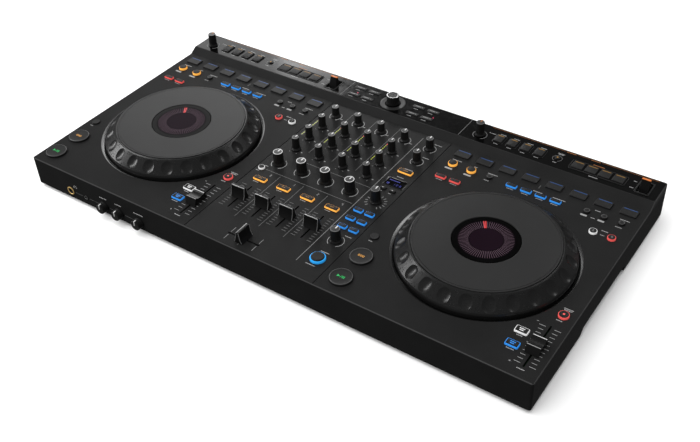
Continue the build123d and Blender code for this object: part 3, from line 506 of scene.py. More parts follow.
RED_ROW = JOGS["left"][1] + 110   # the short bars in front of this line are red, those behind it blue
for side in DECKS:
    tops = on_side(DECK_TOPS, side)
    on_right = side == "right"
    ink = Shape()             # slots: white, plate, grey line
    for x, y, *_ in pick(tops, SHIFT):
        label(ink, x, y - 8.6, 5.5)
    for i, top in enumerate(pick(tops, LOOP)):
        x, y, *_ = top
        lit("deck_buttons", top, "amber", ledge=THIN)
        ink.prism(rounded(x - 0.6, y - 10.2, 10.5, 2.9, 0.5), *DECK_INK, 1)
        label(ink, x + 1.4, y + 10.0, 4.0 if i else 14.0)
    smalls = pick(tops, SMALL)
    for top in smalls:
        x, y, *_, z = top
        dark_cap(caps["deck_buttons"], top, inset=0.2)
        # painted highlight ring round the cap's edge
        caps["deck_buttons"].lathe(x, y, z, ((3.45, 0.4), (3.5, 0.56), (3.2, 0.6), (2.9, 0.48)), 1,
                                   ring=True, count=40)
    (x0, y0, *_), (x1, y1, *_), (x2, *_), (x3, y3, *_) = smalls
    label(ink, x0 + 1, y0 + 7.6, 14)
    label(ink, x0 - 1, y0 - 7.2, 7)
    for x, y, *_ in smalls[1:3]:
        ink.prism(rounded(x - 0.8, y - 7.6, 8.2, 3.0, 0.5), *DECK_INK, 1)
    label(ink, (x1 + x2) / 2, y1 + 8.0, 7)
    label(ink, (x1 + x2) / 2, y1 - 7.6, 5)
    label(ink, x3 + 1, y3 + 8.0, 12)
    label(ink, x3 - 1, y3 - 7.6, 8)
    bars = pick(tops, BAR)
    for top in bars:
        lit("deck_buttons", top, "red" if top[1] < RED_ROW else "blue", ledge=THIN)
        label(ink, top[0] + 0.5, top[1] - 5.6, 9, height=1.0)
    blues = [top for top in bars if top[1] >= RED_ROW]
    label(ink, blues[2][0] - 7, blues[2][1] + 6.6, 12)
    label(ink, blues[3][0] + 2, blues[3][1] + 6.6, 17)
    selects = pick(tops, SELECT)
    for i, top in enumerate(selects):
        x, y, *_, z = top
        lit("deck_buttons", top, "white" if (i == 0) == on_right else "red")
        digit(ink, CHANNEL_NUMBERS[i + 2 * on_right], x, y, 1.3, z + CAP_UP - 0.05, z + CAP_UP + 0.06)
    middle = (selects[0][0] + selects[1][0]) / 2
    label(ink, middle, selects[0][1] + 8.0, 8)
    label(ink, middle, selects[0][1], 5, height=0.9)
    for top in pick(tops, MASTER_TEMPO):
        x, y, *_, z = top
        lit("deck_buttons", top, "red")
        lights["deck_buttons", "red"].prism(circle(x, y, 1.3, 20), z + CAP_UP - 0.05, z + CAP_UP + 0.1)
        label(ink, x + 1, y + 11.6, 11)
        label(ink, x + 1, y + 9.4, 9)
        label(ink, x - 1, y - 9.0, 7)
    for top, colour in zip(sorted(pick(tops, TWO_LINE), key=lambda t: -t[1]), ("white", "blue")):
        x, y, *_, z = top
        lit("deck_buttons", top, colour)
        for dy, wide in ((1.2, 6.0), (-1.2, 4.6)):
            label(lights["deck_buttons", colour], x, y + dy, wide, z + CAP_UP, height=1.3)
        label(ink, x + 0.5, y - 7.0, 7.0 if colour == "white" else 9.0, height=1.0)

    # tempo slot: ticks on both sides, its signs and its name
    cap, _, a, b = travel(f"tempo_fader_{side}")
    scale(ink, cap.x, [cap.y + a + (b - a) * i / 10 for i in range(11)], 5.0, (7.4, 6.0), 0.55)
    sign_x, minus_y, plus_y = cap.x - 15.5, cap.y + b + 3.5, cap.y + a - 3.0
    ink.bar(sign_x, minus_y, 2.2, 0.5, *DECK_INK)
    ink.bar(sign_x, plus_y, 2.2, 0.5, *DECK_INK)
    ink.bar(sign_x, plus_y, 0.5, 2.2, *DECK_INK)
    label(ink, cap.x - 1, cap.y + a - 7.6, 9)
    # short line between the two groups of four pads
    pads = on_side(PAD_TOPS, side)
    ink.bar((pads[3][0] + pads[4][0]) / 2, pads[3][1] - 8.5, 0.4, 7.0, *DECK_INK, 2)
    ink.piece(f"deck_print_{side}", "case", "case", [PRINT, PALE, LINE])

# Pads: a lit line along the back of each rubber pad, and a low frame round it.
pad_line, pad_seat = Shape(), Shape()
for top in PAD_TOPS:
    x, y, width, depth, z = top
    pad_line.prism(rounded(x, y + depth / 2 - 1.5, width - 3.0, 1.0, 0.4), z - 0.1, z + 0.08)
    pad_seat.trace(top, DECK_Z, ((1.4, -0.1), (1.4, 0.12), (1.1, 0.3), (0.78, 0.3), (0.78, -0.1)),
                   corner=1.2)
pad_line.piece("pad_light_lines", "performance_pads", "pad", [LIGHTS["pad"]])
pad_seat.piece("pad_seats", "case", "case", [RUBBER])

# Play and cue: dished dark discs with a painted highlight ring at the edge, a low ring round them, and a lit
# sign.
disc, play_sign, cue_sign = Shape(), Shape(), Shape()
for side in DECKS:
    pair = sorted(on_side(PLAY_TOPS, side), key=lambda t: t[1])
    for x, y, width, _, z in pair:
        r = width / 2
        disc.lathe(x, y, z, ((r - 0.2, -0.15), (r - 0.2, 0.25), (r - 0.5, 0.42), (r - 0.9, 0.45),
                             (r - 1.8, 0.25), (r - 4.0, 0.12), (2.0, 0.06)))
        # painted highlight ring along the disc's edge
        disc.lathe(x, y, z, ((r - 0.1, 0.0), (r - 0.1, 0.3), (r - 0.35, 0.5), (r - 0.7, 0.52),
                             (r - 0.7, 0.3)), 2, ring=True)
        disc.lathe(x, y, DECK_Z, ((r + 1.7, -0.1), (r + 1.7, 0.2), (r + 1.35, 0.34),
                                  (r + 0.95, 0.34), (r + 0.95, -0.1)), 1, ring=True)
    (px, py, *_, pz), (qx, qy, *_, qz) = pair
    low, high = pz, pz + 0.3
    play_sign.prism([(px - 5.0, py - 1.9), (px - 1.6, py), (px - 5.0, py + 1.9)], low, high)
    play_sign.bar(px, py, 0.5, 4.2, low, high, turn=-24)
    for dx in (2.2, 4.2):
        play_sign.bar(px + dx, py, 1.0, 3.6, low, high)
    for dx in (-3.0, 0, 3.0):
        cue_sign.skin([at(rounded(qx + dx, qy, 2.3 - g, 3.0 - g, 0.6), h) for g, h in (
            (0, qz), (0, qz + 0.3), (1.1, qz + 0.3), (1.1, qz))], ring=True)
disc.piece("play_and_cue_discs", "play_and_cue_buttons", "button", [BUTTON, RUBBER, BUTTON_RIM_HIGHLIGHT])
play_sign.piece("play_signs", "play_and_cue_buttons", "button", [LIGHTS["green"]])
cue_sign.piece("cue_signs", "play_and_cue_buttons", "button", [LIGHTS["cue"]])

# ==== Jog wheels ====
SCREEN_Z = box("displays")[1].z
SCREEN_R, DISC_R = 33.6, 19.4
TICKS = 72
SCOOPS = 24
MARKER = -31.0                # clock angle of the red playing mark on the jog screens
CONE = Vector((104.3, 51.9)), Vector((90.3, 64.6))    # radius and height at the rim's foot and top
DOT_ROWS = (                  # share of the way up the cone, degrees to each side, dot radius
    (0.06, 1.5, 0.85), (0.20, 0.9, 0.7), (0.86, 1.2, 0.7), (0.97, 0.7, 0.6),
)


def ray(shape, x, y, clock, distance, width, length, top, slot):
    """Screen mark that points outward, at a clock angle."""
    a = math.radians(clock)
    shape.bar(x + distance * math.sin(a), y + distance * math.cos(a), width, length, SCREEN_Z, top,
              slot, turn=-clock)


def grip_dot(shape, x, y, turn, share, radius):
    """Low round dot that stands on the cone of a jog wheel's rim."""
    foot, head = CONE
    along = (head - foot).normalized()
    spot = foot.lerp(head, share)
    a = math.radians(turn)
    axis = Vector((math.cos(a), math.sin(a), 0))
    normal = axis * along.y + Vector((0, 0, -along.x))
    across = Vector((-math.sin(a), math.cos(a), 0))
    down = normal.cross(across)
    base = Vector((x, y, 0)) + axis * spot.x + Vector((0, 0, spot.y))
    angles = [2 * math.pi * k / 10 for k in range(10)]
    shape.skin([[base + normal * (h * radius) + (across * math.cos(t) + down * math.sin(t)) * (r * radius)
                 for t in angles] for r, h in ((1.0, -0.3), (1.0, 0.0), (0.72, 0.35), (0.3, 0.5))])


for side in DECKS:
    x, y = JOGS[side]
    screen = Shape()          # slots: glass, disc, ticks, marker
    screen.prism(circle(x, y, SCREEN_R, 96), SCREEN_Z - 0.1, SCREEN_Z + 0.03)
    screen.prism(circle(x, y, DISC_R, 72), SCREEN_Z, SCREEN_Z + 0.06, 1)
    for i in range(TICKS):
        ray(screen, x, y, 360 // TICKS * i, 26.2, 0.5, 11.6, SCREEN_Z + 0.06, 2)
    for spread in (-2.1, 2.1):
        ray(screen, x, y, MARKER + spread, 26.4, 1.1, 12.4, SCREEN_Z + 0.1, 3)
    screen.piece(f"jog_screen_{side}", "case", "screen",
                 [SCREEN_BACK, SCREEN_DISC, SCREEN_TICK, LIGHTS["marker"]])

    # glossy bezel on the bevel round the well
    bezel = Shape()
    bezel.lathe(x, y, DECK_Z, ((111.9, -0.25), (111.7, 0.12), (110.9, 0.05), (107.7, -1.35),
                               (107.7, -1.65)), ring=True, count=160)
    bezel.piece(f"jog_bezel_{side}", "case", "case", [BEZEL], smooth=30)

    # grip dots between the scoops
    dots = Shape()
    for i in range(SCOOPS):
        for share, spread, radius in DOT_ROWS:
            for end in (-1, 1):
                grip_dot(dots, x, y, (i + 0.5) * 360 / SCOOPS + end * spread, share, radius)
    dots.piece(f"jog_dots_{side}", f"jog_{side}", "jog_rim", [RIMS[side]], smooth=70)

# ==== Mixer ====
CHANNEL_X = [travel(f"channel_fader_{n}")[0].x for n in CHANNELS]
HINGED = {joint["child"] for joint in frame["joints"] if joint["type"] == "hinge"}
knob_at = {node: node_middle(node) for node in frame["nodes"] if node in HINGED and "lever" not in node}
ink = Shape()                 # slots: white, grey line, plate
cfx_y = knob_at["channel_fx_1"].y
low_y = knob_at["eq_low_1"].y
trim_y = knob_at["trim_1"].y
for a, b in zip(CHANNEL_X, CHANNEL_X[1:]):                   # lines between the channels
    x = (a + b) / 2
    ink.bar(x, cfx_y - 67.7, 0.45, 92.5, *DECK_INK, 1)
    ink.bar(x, (low_y + trim_y) / 2 + 12, 0.45, 112, *DECK_INK, 1)
first_x, right_line = CHANNEL_X[0], CHANNEL_X[3] + 18.9
span = right_line - first_x
ink.bar(right_line, -21.0, 0.5, 286.7, *DECK_INK, 2)
ink.bar((first_x - 10.4 + right_line) / 2 - 1.5, cfx_y - 18.5, span + 7, 0.45, *DECK_INK, 1)
ink.bar((first_x + 22.6 + right_line) / 2 - 1.2, cfx_y + 20, span - 25, 0.45, *DECK_INK, 1)
for n, x, number in zip(CHANNELS, CHANNEL_X, CHANNEL_NUMBERS):
    for row in ("trim", "eq_high", "eq_mid", "eq_low"):
        knob = knob_at[f"{row}_{n}"]
        label(ink, knob.x + 11.0, knob.y - 2.5, 4.0 if row == "trim" else 3.0, height=1.1)
        for end in (-1, 1):
            ink.bar(knob.x + end * 5.6, knob.y - 7.8, 1.1, 0.5, *DECK_INK)
    cfx = knob_at[f"channel_fx_{n}"]
    arcs(ink, knob_at[f"trim_{n}"], 8.2, 8.9, 18, 152)
    arcs(ink, cfx, 9.9, 10.6, 20, 152)
    digit(ink, number, x + 6.5, cfx.y - 26.0, 1.7, *DECK_INK, 2, stroke=0.3)
    fader, _, _, reach = travel(f"channel_fader_{n}")
    rows = [fader.y + (reach + 1) * (k - 5) / 5 for k in range(11)]
    scale(ink, fader.x, rows, 8.6, (6.4, 5.2), 0.5)
for top in pick(MIXER_TOPS, CUE_KEY):
    x, y, *_, z = top
    lit("mixer_buttons", top, "amber", ledge=THIN)
    label(lights["mixer_buttons", "cue"], x, y, 5, z + CAP_UP, height=0.5)
    label(ink, x - 2.5, y - 6.6, 8, height=1.0)
for top in pick(MIXER_TOPS, WIDE_KEY):
    x, y, *_, z = top
    lit("mixer_buttons", top, "amber", ledge=THIN)
    label(lights["mixer_buttons", "cue"], x, y, 7, z + CAP_UP, height=0.5)
    label(ink, x + 1, y + 6.8, 12)
    label(ink, x, y - 12.5, 10)
narrow = pick(MIXER_TOPS, NARROW_KEY)
for top in [t for t in narrow if t[3] > 6]:                  # the deep ones are lit
    x, y, *_ = top
    lit("mixer_buttons", top, "white")
    label(ink, x + 3, y + 6.5, 5)
    label(ink, x - 2, y - 6.5, 5)
for top in [t for t in narrow if t[3] < 6]:
    x, y, *_, z = top
    dark_cap(caps["mixer_buttons"], top, inset=0.3, rise=0.35)
    lights["mixer_buttons", "white"].bar(x, y, 1.8, 0.5, z + 0.3, z + 0.4)
    label(ink, x - 1, y - 5.0, 4, height=0.9)
for top in pick(MIXER_TOPS, BLUE_KEY):
    x, y, *_, z = top
    lit("mixer_buttons", top, "blue", ledge=THIN)
    label(lights["mixer_buttons", "pad"], x, y, 3.0, z + CAP_UP, height=0.5)
for x, y, width, _, z in pick(MIXER_TOPS, BIG_ROUND):
    r, foot = width / 2, DECK_Z - 0.8
    lights["mixer_buttons", "azure"].lathe(x, y, 0, (
        (r + 0.5, foot), (r + 0.5, z - 0.5), (r + 0.2, z + 0.02), (r - 0.4, z + 0.12),
        (r - 1.3, z + 0.12), (r - 1.3, z - 0.2), (r + 0.1, foot)), ring=True)
    caps["mixer_buttons"].lathe(x, y, z, ((8.2, -0.1), (8.2, 0.8), (7.8, 1.3), (7.0, 1.5), (5.0, 1.4),
                                          (1.5, 1.3)))
    label(ink, x + 1, y + 13.0, 12)
    label(ink, x - 1.5, y - 13.0, 13)
select = knob_at["fx_select"]
for i in range(14):
    a = math.radians(-143 + 22 * i)
    ink.bar(select.x + 12.4 * math.sin(a), select.y + 12.4 * math.cos(a), 3.6, 1.1, *DECK_INK, 1,
            turn=90 - math.degrees(a))
level = knob_at["fx_level"]
arcs(ink, level, 9.9, 10.5, 20, 150)
for name, wide in (("master_level", 11), ("booth_level", 9)):
    knob = knob_at[name]
    arcs(ink, knob, 8.3, 8.9, 18, 150)
    label(ink, knob.x + 6, knob.y + 12.6, wide)
label(ink, level.x + 8.5, level.y + 13.5, 9)
cross = travel("crossfader")[0]
for end in (-1, 1):           # end marks, broken where the slot passes
    for half in (-1, 1):
        ink.bar(cross.x + end * 21.2, cross.y + half * 7.0, 0.5, 9.0, *DECK_INK, 2)
ink.bar(cross.x, cross.y + 10.5, 0.4, 4.0, *DECK_INK, 1)
ink.bar(cross.x, cross.y - 10.5, 0.4, 4.0, *DECK_INK, 1)
ink.piece("mixer_print", "case", "mixer", [PRINT, LINE, PALE])

# level meters: a dark strip with a column of lamps for each channel, the last one red
LAMPS = 12
meter = Shape()               # slots: strip, yellow-green, red
low, high = knob_at["eq_mid_1"].y + 2.0, knob_at["eq_high_1"].y + 14.0
for x in CHANNEL_X:
    meter.prism(rounded(x - 14.8, (low + high) / 2, 3.4, high - low + 2.5, 0.8), DECK_Z - 0.1, DECK_Z + 0.12)
    for k in range(LAMPS):
        y = low + (high - low) * (k + 0.5) / LAMPS
        meter.prism(rounded(x - 14.8, y, 1.0, 2.4, 0.3), DECK_Z, DECK_Z + 0.2, 2 if k == LAMPS - 1 else 1)
meter.piece("level_meters", "case", "mixer", [BUTTON_GLOSS, LIGHTS["yellow"], LIGHTS["red"]])

# effect screen: bezel and lit generic digits
fx_mid = Vector((select.x + 0.7, select.y + 44.4))
on_glass = (DECK_Z - 0.12, DECK_Z + 0.02)
bezel, readout = Shape(), Shape()
bezel.trace((*fx_mid, 27.0, 15.5, 0), DECK_Z, ((1.2, -0.1), (1.2, 0.15), (0.8, 0.35), (-0.4, 0.35),
                                               (-0.4, -0.1)), corner=1.0)
bezel.piece("effect_screen_bezel", "case", "mixer", [BUTTON_GLOSS])
for i, number in enumerate((1, 2, 8)):
    digit(readout, number, fx_mid.x - 0.5 + 4.6 * i, fx_mid.y - 2.4, 1.7, *on_glass)
label(readout, fx_mid.x - 3, fx_mid.y + 4.2, 15, DECK_Z - 0.05, height=1.5)
readout.bar(fx_mid.x - 9.0, fx_mid.y - 2.4, 3.4, 1.2, *on_glass)
readout.bar(fx_mid.x - 9.0, fx_mid.y - 4.4, 3.4, 0.8, *on_glass)
readout.piece("effect_readout", "case", "screen", [LIGHTS["violet"]])

# ==== Knobs: a pale top, its pointer and a mark down the side ====
FRONT_Y, BACK_Y = (corner.y for corner in box("top_case"))
STRIP_FOOT_Y = 140            # knobs behind this line stand on the raised strip
SHOULDER = 0.5                # a knob's shoulder is this far under its top
FOOT = 3.6                    # and its straight side starts this far over its foot
TO_FRONT = Matrix(((1, 0, 0, 0), (0, 0, -1, 0), (0, 1, 0, 0), (0, 0, 0, 1)))


def knob_shape(node):
    """Place of a knob's foot with its axis upward, its height, and its radius at a height."""
    middle = node_middle(node)
    if box(node)[0].y < FRONT_Y - 1:                         # a knob on the front face
        place = Matrix.Translation((middle.x, FRONT_Y, middle.z)) @ TO_FRONT
    else:
        place = Matrix.Translation((middle.x, middle.y, STRIP_Z if middle.y > STRIP_FOOT_Y else DECK_Z))
    inverse = place.inverted()
    points = [inverse @ (v.co / MM) for v in frame["nodes"][node].data.vertices]
    height = max(p.z for p in points)

    def radius(z):
        return max(math.hypot(p.x, p.y) for p in points if abs(p.z - z) < 0.12)

    return place, height, radius


def knob_top(node):
    """Pale top of a knob, its pointer with a mark down the side, and a painted highlight line round its
    edge.
    """
    place, height, radius = knob_shape(node)
    top_r, shoulder_r, foot_r = radius(height), radius(height - SHOULDER), radius(FOOT)
    cap = Shape(place)        # slots: top, mark, dark face, orange mark, painted edge highlight
    if node == "browse_knob":
        cap.lathe(0, 0, height, (
            (top_r + 0.45, -0.45), (top_r + 0.5, -0.15), (top_r + 0.1, 0.15), (top_r - 0.9, 0.15),
            (top_r - 1.3, -0.05), (top_r - 1.3, -0.3)), 1, ring=True)
        cap.lathe(0, 0, height, ((top_r - 1.2, -0.4), (top_r - 1.2, 0.04), (4.0, -0.05), (1.0, -0.1)))
        cap.piece("browse_knob_top", node, "knob", [BUTTON_GLOSS, CHROME])
        return
    short = height < 12       # the front knobs, which keep a dark face
    cap.lathe(0, 0, height, ((top_r + 0.05, -0.12), (top_r - 0.1, 0.04), (top_r - 0.6, 0.06), (0.6, 0.08)),
              2 if short else 0, count=48)
    tone = 3 if node.startswith("groove") else 1
    cap.bar(0, top_r / 2 + 0.3, 1.4, top_r - 0.3, height, height + 0.3, tone)
    half, start = 0.6, max(height * 0.6, FOOT + 0.1)
    share = (height - start) / (height - SHOULDER - FOOT)
    start_r = shoulder_r + (foot_r - shoulder_r) * share
    side_line = ((start_r, start), (shoulder_r, height - 0.45), (top_r + 0.15, height + 0.2))
    cap.skin([[(-half, r - 0.25, h), (half, r - 0.25, h), (half, r + 0.16, h), (-half, r + 0.16, h)]
              for r, h in side_line], tone)
    if not short:             # painted highlight line round the top, white on the channel effect knobs
        wide, slot = (0.8, 1) if node.startswith("channel_fx") else (0.45, 4)
        cap.lathe(0, 0, height, ((top_r + 0.04, -0.05), (top_r, 0.22), (top_r - wide, 0.22),
                                 (top_r - wide, 0)), slot, ring=True, count=48)
    if node.startswith(("eq_", "channel_fx", "trim", "fx_", "master", "booth")):
        cap.prism(circle(0, -radius(0.9) + 0.55, 0.42, 16), 1.9, 2.35, 1)
    cap.piece(f"{node}_top", node, "knob", [KNOB_TOP, WHITE, KNOB, ORANGE, KNOB_RIM_HIGHLIGHT])


for node in knob_at:
    knob_top(node)

# ==== Faders ====
for node in [f"channel_fader_{n}" for n in CHANNELS] + ["crossfader"]:
    crosswise = node == "crossfader"
    middle, top_z, *_ = travel(node)
    turn = Matrix.Rotation(math.radians(90 * crosswise), 4, "Z")
    trim = Shape(Matrix.Translation((middle.x, middle.y, 0)) @ turn)
    line_y = 1.15 if crosswise else -1.15                    # the painted highlight line lies off the middle, along one top edge of the cap
    trim.skin([at(rounded(0, line_y, w, d, 0.3), top_z + h) for w, d, h in (
        (19.9, 1.0, -0.25), (19.9, 1.0, 0.02), (19.6, 0.7, 0.12))])
    edge = ((5.35, DECK_Z + 1.6), (4.2, DECK_Z + 4.0), (3.1, DECK_Z + 8.0), (2.45, DECK_Z + 12.5),
            (1.9, top_z - 0.45))                             # the cap's profile, from its foot up
    wire = ((-0.22, -0.22), (0.22, -0.22), (0.22, 0.22), (-0.22, 0.22))
    # painted highlight lines down both end edges of the cap
    for end in (-10.25, 10.25):
        for face in (-1, 1):
            trim.skin([[(end + u, face * y + v, h) for u, v in wire] for y, h in edge])
    trim.piece(f"{node}_trim", node, "fader", [EDGE])

for side in DECKS:
    node = f"tempo_fader_{side}"
    middle, top_z, *_ = travel(node)
    trim = Shape(Matrix.Translation((middle.x, middle.y, 0)))
    for end, slot in ((-1, 1), (1, 0)):                      # the front line is the dimmer one
        trim.prism(rounded(0, end * 7.5, 15.6, 0.8, 0.3), top_z - 0.2, top_z + 0.1, slot)
    trim.piece(f"{node}_trim", node, "tempo_cap", [WHITE, PALE])

# ==== Raised strip ====
DIVIDER_X = 96.0
ink = Shape()                 # slots: white, plate, orange, grey line
strip = Shape()               # slots: dark moulded frames, dish


def word(x, y, width, height=1.0, slot=0):
    """Printed word on the raised strip."""
    label(ink, x, y, width, STRIP_Z, height, slot)


strip_front, strip_back = (corner.y for corner in box("console_inlay"))
for end in (-1, 1):
    ink.bar(end * DIVIDER_X, (strip_back + strip_front) / 2, 0.5, strip_back - strip_front - 1.5,
            *STRIP_INK, 3)
for side, sign in zip(DECKS, (-1, 1)):
    here = [t for t in STRIP_TOPS if sign * t[0] > DIVIDER_X]
    start, stop = here[0][0] - 20, here[-1][0] + 45
    for a, b in ((start, start + 105), (start + 122, stop - 92), (stop - 76, stop)):
        ink.bar((a + b) / 2, strip_back - 1.5, b - a, 0.32, *STRIP_INK, 2)
    for middle in (start + 113.5, stop - 84):
        word(middle, strip_back - 2.1, 13, height=1.2, slot=2)
    knob = knob_at[f"groove_knob_{side}"]
    ink.prism(band(knob.x, knob.y, 9.2, 9.8, -150, 150, 48), *STRIP_INK, 3)
    word(knob.x + 13.5, knob.y + 11.0, 9, height=1.05)
    for top in pick(here, EFFECT_KEY):
        x, y, width, depth, z = top
        strip.trace(top, STRIP_Z, ((1.5, -0.1), (1.5, 0.2), (1.2, 0.32), (0.75, 0.32), (0.75, -0.1)))
        dark_cap(caps["console_buttons"], top, inset=0.5, rise=0.4)
        lights["console_buttons", "brass"].prism(
            rounded(x, y + depth / 2 - 3.0, width - 4.0, 1.0, 0.4), z + 0.2, z + 0.48)
        word(x + 0.5, y + depth / 2 + 3.4, 8)
        word(x - 0.5, y - depth / 2 - 3.2, 6)
    for top in pick(here, ROUND_KEY):
        x, y, *_, z = top
        dark_cap(caps["console_buttons"], top, inset=0.3, rise=0.35)
        lights["console_buttons", "brass"].prism(circle(x, y, 1.2, 20), z + 0.2, z + 0.5)
        ink.prism(band(x, y, 6.0, 6.4, -160, 160, 40), *STRIP_INK, 3)
        word(x + 1, y + 11.5, 9)
        word(x + 1, y + 9.6, 7)
        word(x, y - 9.5, 5)
    drums = pick(here, DRUM_PAD)
    mid_x, mid_y = (drums[0][0] + drums[-1][0]) / 2, drums[0][1]
    strip.trace((mid_x, mid_y, 72.6, 17.6, 0), STRIP_Z, ((1.3, -0.1), (1.3, 0.5), (0.9, 0.8), (0.2, 0.8),
                                                         (0.0, -0.1)), corner=1.6)
    for top in drums:
        x, y, width, depth, z = top
        dark_cap(caps["console_buttons"], top, inset=0.25, rise=0.3)
        lights["console_buttons", "brass"].prism(
            rounded(x, y + depth / 2 - 2.2, width - 3.4, 0.9, 0.4), z + 0.1, z + 0.38)
    word(mid_x - 4, mid_y + 12.2, 15, height=1.1, slot=2)
    word(mid_x - 2, mid_y - 12.6, 12)
    # effect lever: frame, front bar, marks and tip
    lever = f"effect_lever_{side}"
    low, high = box(lever)
    lx = (low.x + high.x) / 2
    joint = next(j for j in frame["joints"] if j["child"] == lever)
    ly, lz = (v / MM for v in joint["pos_m"][1:])
    strip.trace((lx, ly, 15.0, 23.0, 0), STRIP_Z, ((2.2, -0.1), (2.2, 0.35), (1.8, 0.6), (0.4, 0.6),
                                                   (0.1, 0.2), (0.1, -0.1)))
    strip.prism(rounded(lx, ly - 12.6, 14.0, 0.9, 0.4), STRIP_Z + 0.5, STRIP_Z + 0.75, 1)
    word(lx - 14, ly + 7, 4.5)
    word(lx - 14, ly - 7, 5.5)
    tip = Shape(Matrix.Translation((lx, ly, lz)) @ Matrix.Rotation(math.radians(-8), 4, "X"))
    tip.skin([at(rounded(0, 0, w, d, 0.9), h) for w, d, h in (
        (11.5, 4.0, 17.3), (11.4, 3.9, 17.8), (11.1, 3.7, 18.05), (10.5, 3.2, 18.2))])
    tip.piece(f"effect_lever_tip_{side}", lever, "lever", [LEVER_TIP], smooth=50)

# browse section: grey dish round the knob, light bars on its keys
browse = knob_at["browse_knob"]
strip.lathe(browse.x, browse.y, STRIP_Z, ((18.0, -0.1), (18.0, 0.25), (17.4, 0.5), (16.6, 0.5),
                                          (12.0, 0.12), (11.4, 0.12), (11.4, -0.1)), 1, ring=True, count=96)
keys = pick(STRIP_TOPS, BROWSE_KEY)
for top in keys:
    x, y, _, depth, z = top
    dark_cap(caps["console_buttons"], top, inset=0.2, rise=0.25)
    ink.bar(x - 1.5, y + 0.4, 8.0, 0.9, z + 0.15, z + 0.3, 1)
    ink.bar(x + 5.0, y + 0.4, 2.0, 0.9, z + 0.15, z + 0.3, 1)
    word(x - 2, y - depth / 2 - 2.6, 7, height=0.9)
signal = Shape()
for x in (keys[0][0] + 2.7, keys[-1][0] + 7.0):
    signal.prism(circle(x, keys[0][1] + 6.0, 0.9, 20), STRIP_Z - 0.1, STRIP_Z + 0.3)
signal.piece("browse_signals", "case", "inlay", [LIGHTS["pink"]])
ink.piece("strip_print", "case", "inlay", [PRINT, PALE, ORANGE, LINE])
strip.piece("strip_frames", "case", "inlay", [BUTTON, DISH], smooth=30)

for (node, colour), shape in sorted(lights.items()):
    shape.piece(f"{node}_light_{colour}", node, "button", [LIGHTS[colour]])
for node, shape in sorted(caps.items()):
    shape.piece(f"{node}_caps", node, "button", [BUTTON, BUTTON_RIM_HIGHLIGHT])

# ==== Front and back faces ====
jack_low, jack_high = box("front_jacks")
JACK_Z = knob_at["mic_level"].z
JACK_X, MINI_X = jack_low.x + 7.0, jack_high.x - 4.5
face = Shape(Matrix.Translation((0, FRONT_Y, 0)) @ TO_FRONT)    # slots: gold, steel, line, white
face.lathe(JACK_X, JACK_Z, 0, ((6.1, 0.4), (6.1, 0.75), (5.7, 1.05), (4.8, 1.1), (4.4, 0.8), (4.3, 0.4)),
           ring=True, count=48)
face.lathe(MINI_X, JACK_Z, 0, ((3.1, 0.4), (3.1, 0.7), (2.8, 0.85), (2.1, 0.85), (1.95, 0.4)), 1,
           ring=True, count=40)
knob_xs = sorted(knob_at[n].x for n in ("mic_level", "headphone_mix", "headphone_level"))
runs = ((JACK_X + 9, MINI_X - 6), (MINI_X + 6, knob_xs[0] - 10), (knob_xs[0] + 10, knob_xs[1] - 10),
        (knob_xs[1] + 10, knob_xs[2] - 10))
for a, b in runs:
    face.bar((a + b) / 2, JACK_Z, b - a, 0.4, -SUNK, INK, 2)
for x, wide in zip(knob_xs, (13, 11, 16)):
    label(face, x, JACK_Z + 12.5, wide, 0, slot=3)
# headphone sign: a band with two ear pads
sign_x, sign_z = JACK_X + 10, JACK_Z + 9.5
face.prism([(sign_x + r * math.cos(a), sign_z + r * math.sin(a)) for r, turns in (
    (2.4, [math.pi * k / 12 for k in range(13)]), (1.9, [math.pi * (12 - k) / 12 for k in range(13)]))
    for a in turns], -SUNK, INK, 3)
for end in (-1, 1):
    face.prism(rounded(sign_x + end * 2.1, sign_z - 0.9, 1.1, 2.0, 0.4), -SUNK, INK, 3)
face.piece("front_face_trim", "case", "jack", [GOLD, STEEL, LINE, WHITE])

TO_BACK = Matrix(((-1, 0, 0, 0), (0, 0, 1, 0), (0, 1, 0, 0), (0, 0, 0, 1)))
rear = Shape(Matrix.Translation((0, BACK_Y, 0)) @ TO_BACK)    # slots: steel, gold, dark, line
rear_solids = []              # (middle, width, how far it reaches back) of each socket
for points in solids("rear_sockets"):
    xs = [p.x for p in points]
    rear_solids.append(((min(xs) + max(xs)) / 2, max(xs) - min(xs), max(p.y for p in points)))
ROUND_SOCKETS = {12.0: (0, 5.9, 3.4), 8.3: (1, 4.05, 1.9), 8.8: (2, 4.3, 2.95)}   # width: slot, radii
REAR_SOCKET_Z = (box("rear_sockets")[0].z + box("rear_sockets")[1].z) / 2
for x, width, reach in sorted(rear_solids):
    wide = min(ROUND_SOCKETS, key=lambda w: abs(w - width))
    if abs(wide - width) < 0.3:
        slot, outer, inner = ROUND_SOCKETS[wide]
        rear.lathe(-x, REAR_SOCKET_Z, reach - BACK_Y, (
            (outer + 0.15, -0.5), (outer + 0.15, -0.1), (outer - 0.2, 0.12), (inner + 0.3, 0.12),
            (inner, -0.2), (inner, -0.5)), slot, ring=True, count=40)
    label(rear, -x, REAR_SOCKET_Z + 10.5, max(width * 0.7, 6), 0, slot=3)
rear.piece("back_face_trim", "case", "socket", [STEEL, GOLD, BUTTON_GLOSS, LINE])

# ==== Stage, lights and camera ====
scene = bpy.context.scene
scene.view_settings.view_transform = "Standard"


def area(name, place, aim, size, power):
    """Soft rectangular light; size is in metres and power in watts."""
    data = bpy.data.lights.new(name, "AREA")
    data.shape, data.size, data.size_y = "RECTANGLE", *size
    data.energy = power
    made = bpy.data.objects.new(name, data)
    made.location = place
    made.rotation_mode = "QUATERNION"
    made.rotation_quaternion = (Vector(aim) - Vector(place)).to_track_quat("-Z", "Y")
    scene.collection.objects.link(made)
    return made


world = bpy.data.worlds.new("studio")
scene.world = world
world.use_nodes = True
world.node_tree.nodes["Background"].inputs["Color"].default_value = (1, 1, 1, 1)
world.node_tree.nodes["Background"].inputs["Strength"].default_value = 0.14

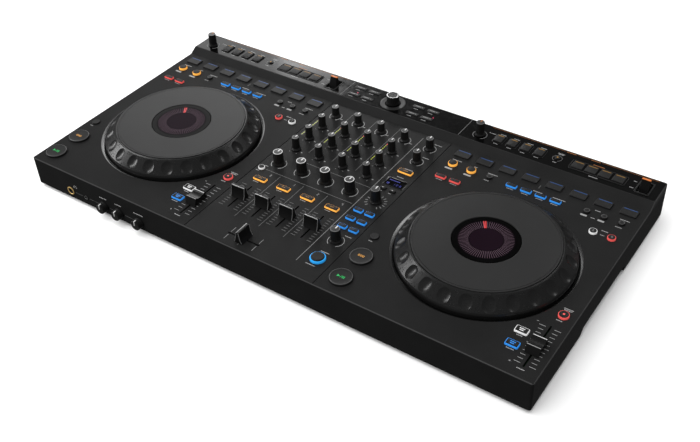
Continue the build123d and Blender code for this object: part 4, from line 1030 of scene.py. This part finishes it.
sun_data = bpy.data.lights.new("daylight", "SUN")
sun_data.energy, sun_data.angle = 3.7, math.radians(70)
sun = bpy.data.objects.new("daylight", sun_data)
sun.rotation_mode = "QUATERNION"
sun.rotation_quaternion = Vector((0.15, 0.45, -1)).to_track_quat("-Z", "Y")
scene.collection.objects.link(sun)
sun.visible_glossy = False     # highlights come from the softboxes alone
area("softbox_back_left", (-1.6, 1.35, 1.05), (-0.3, 0, 0.05), (1.0, 1.1), 6.5)
area("strip_left", (-1.3, -0.4, 0.7), (-0.2, 0, 0.05), (0.3, 1.4), 9)
area("strip_back", (0.45, 1.1, 1.45), (0, 0, 0.05), (1.0, 0.3), 4)
area("fill_back", (0.3, 1.7, 0.4), (0, 0.2, 0.03), (1.4, 0.4), 14).visible_glossy = False
area("strip_low", (-0.95, 1.5, 0.7), (0.3, 0, 0.05), (0.6, 0.45), 4)

bpy.ops.mesh.primitive_plane_add(size=30, location=(0, 0, 0))
floor = bpy.context.object
floor.name = "floor"
floor.data.materials.append(material("floor_paper", grey(0.86), 0.9, spec=0.1, grain=60, depth=0.2,
                                     spread=0.01))
floor.visible_diffuse = False  # the dark walls neither take light from the pale floor
floor.visible_glossy = False   # nor mirror it, as in a cut-out photograph

CAMERA_AT = Vector((0.58840, -0.79102, 0.78565))
AZIMUTH, ELEVATION, ROLL = (math.radians(a) for a in (35.857, 39.826, -2.601))
LENS = 49.044
camera_data = bpy.data.cameras.new("camera")
camera_data.lens, camera_data.sensor_width = LENS, 36
camera_data.clip_start, camera_data.clip_end = 0.02, 60
camera = bpy.data.objects.new("camera", camera_data)
scene.collection.objects.link(camera)
back = Vector((math.sin(AZIMUTH) * math.cos(ELEVATION), -math.cos(AZIMUTH) * math.cos(ELEVATION),
               math.sin(ELEVATION)))
level = Vector((0, 0, 1)).cross(back).normalized()
raised = back.cross(level)
right = math.cos(ROLL) * level + math.sin(ROLL) * raised
up = -math.sin(ROLL) * level + math.cos(ROLL) * raised
camera.matrix_world = Matrix.Translation(CAMERA_AT) @ Matrix((right, up, back)).transposed().to_4x4()
scene.camera = camera
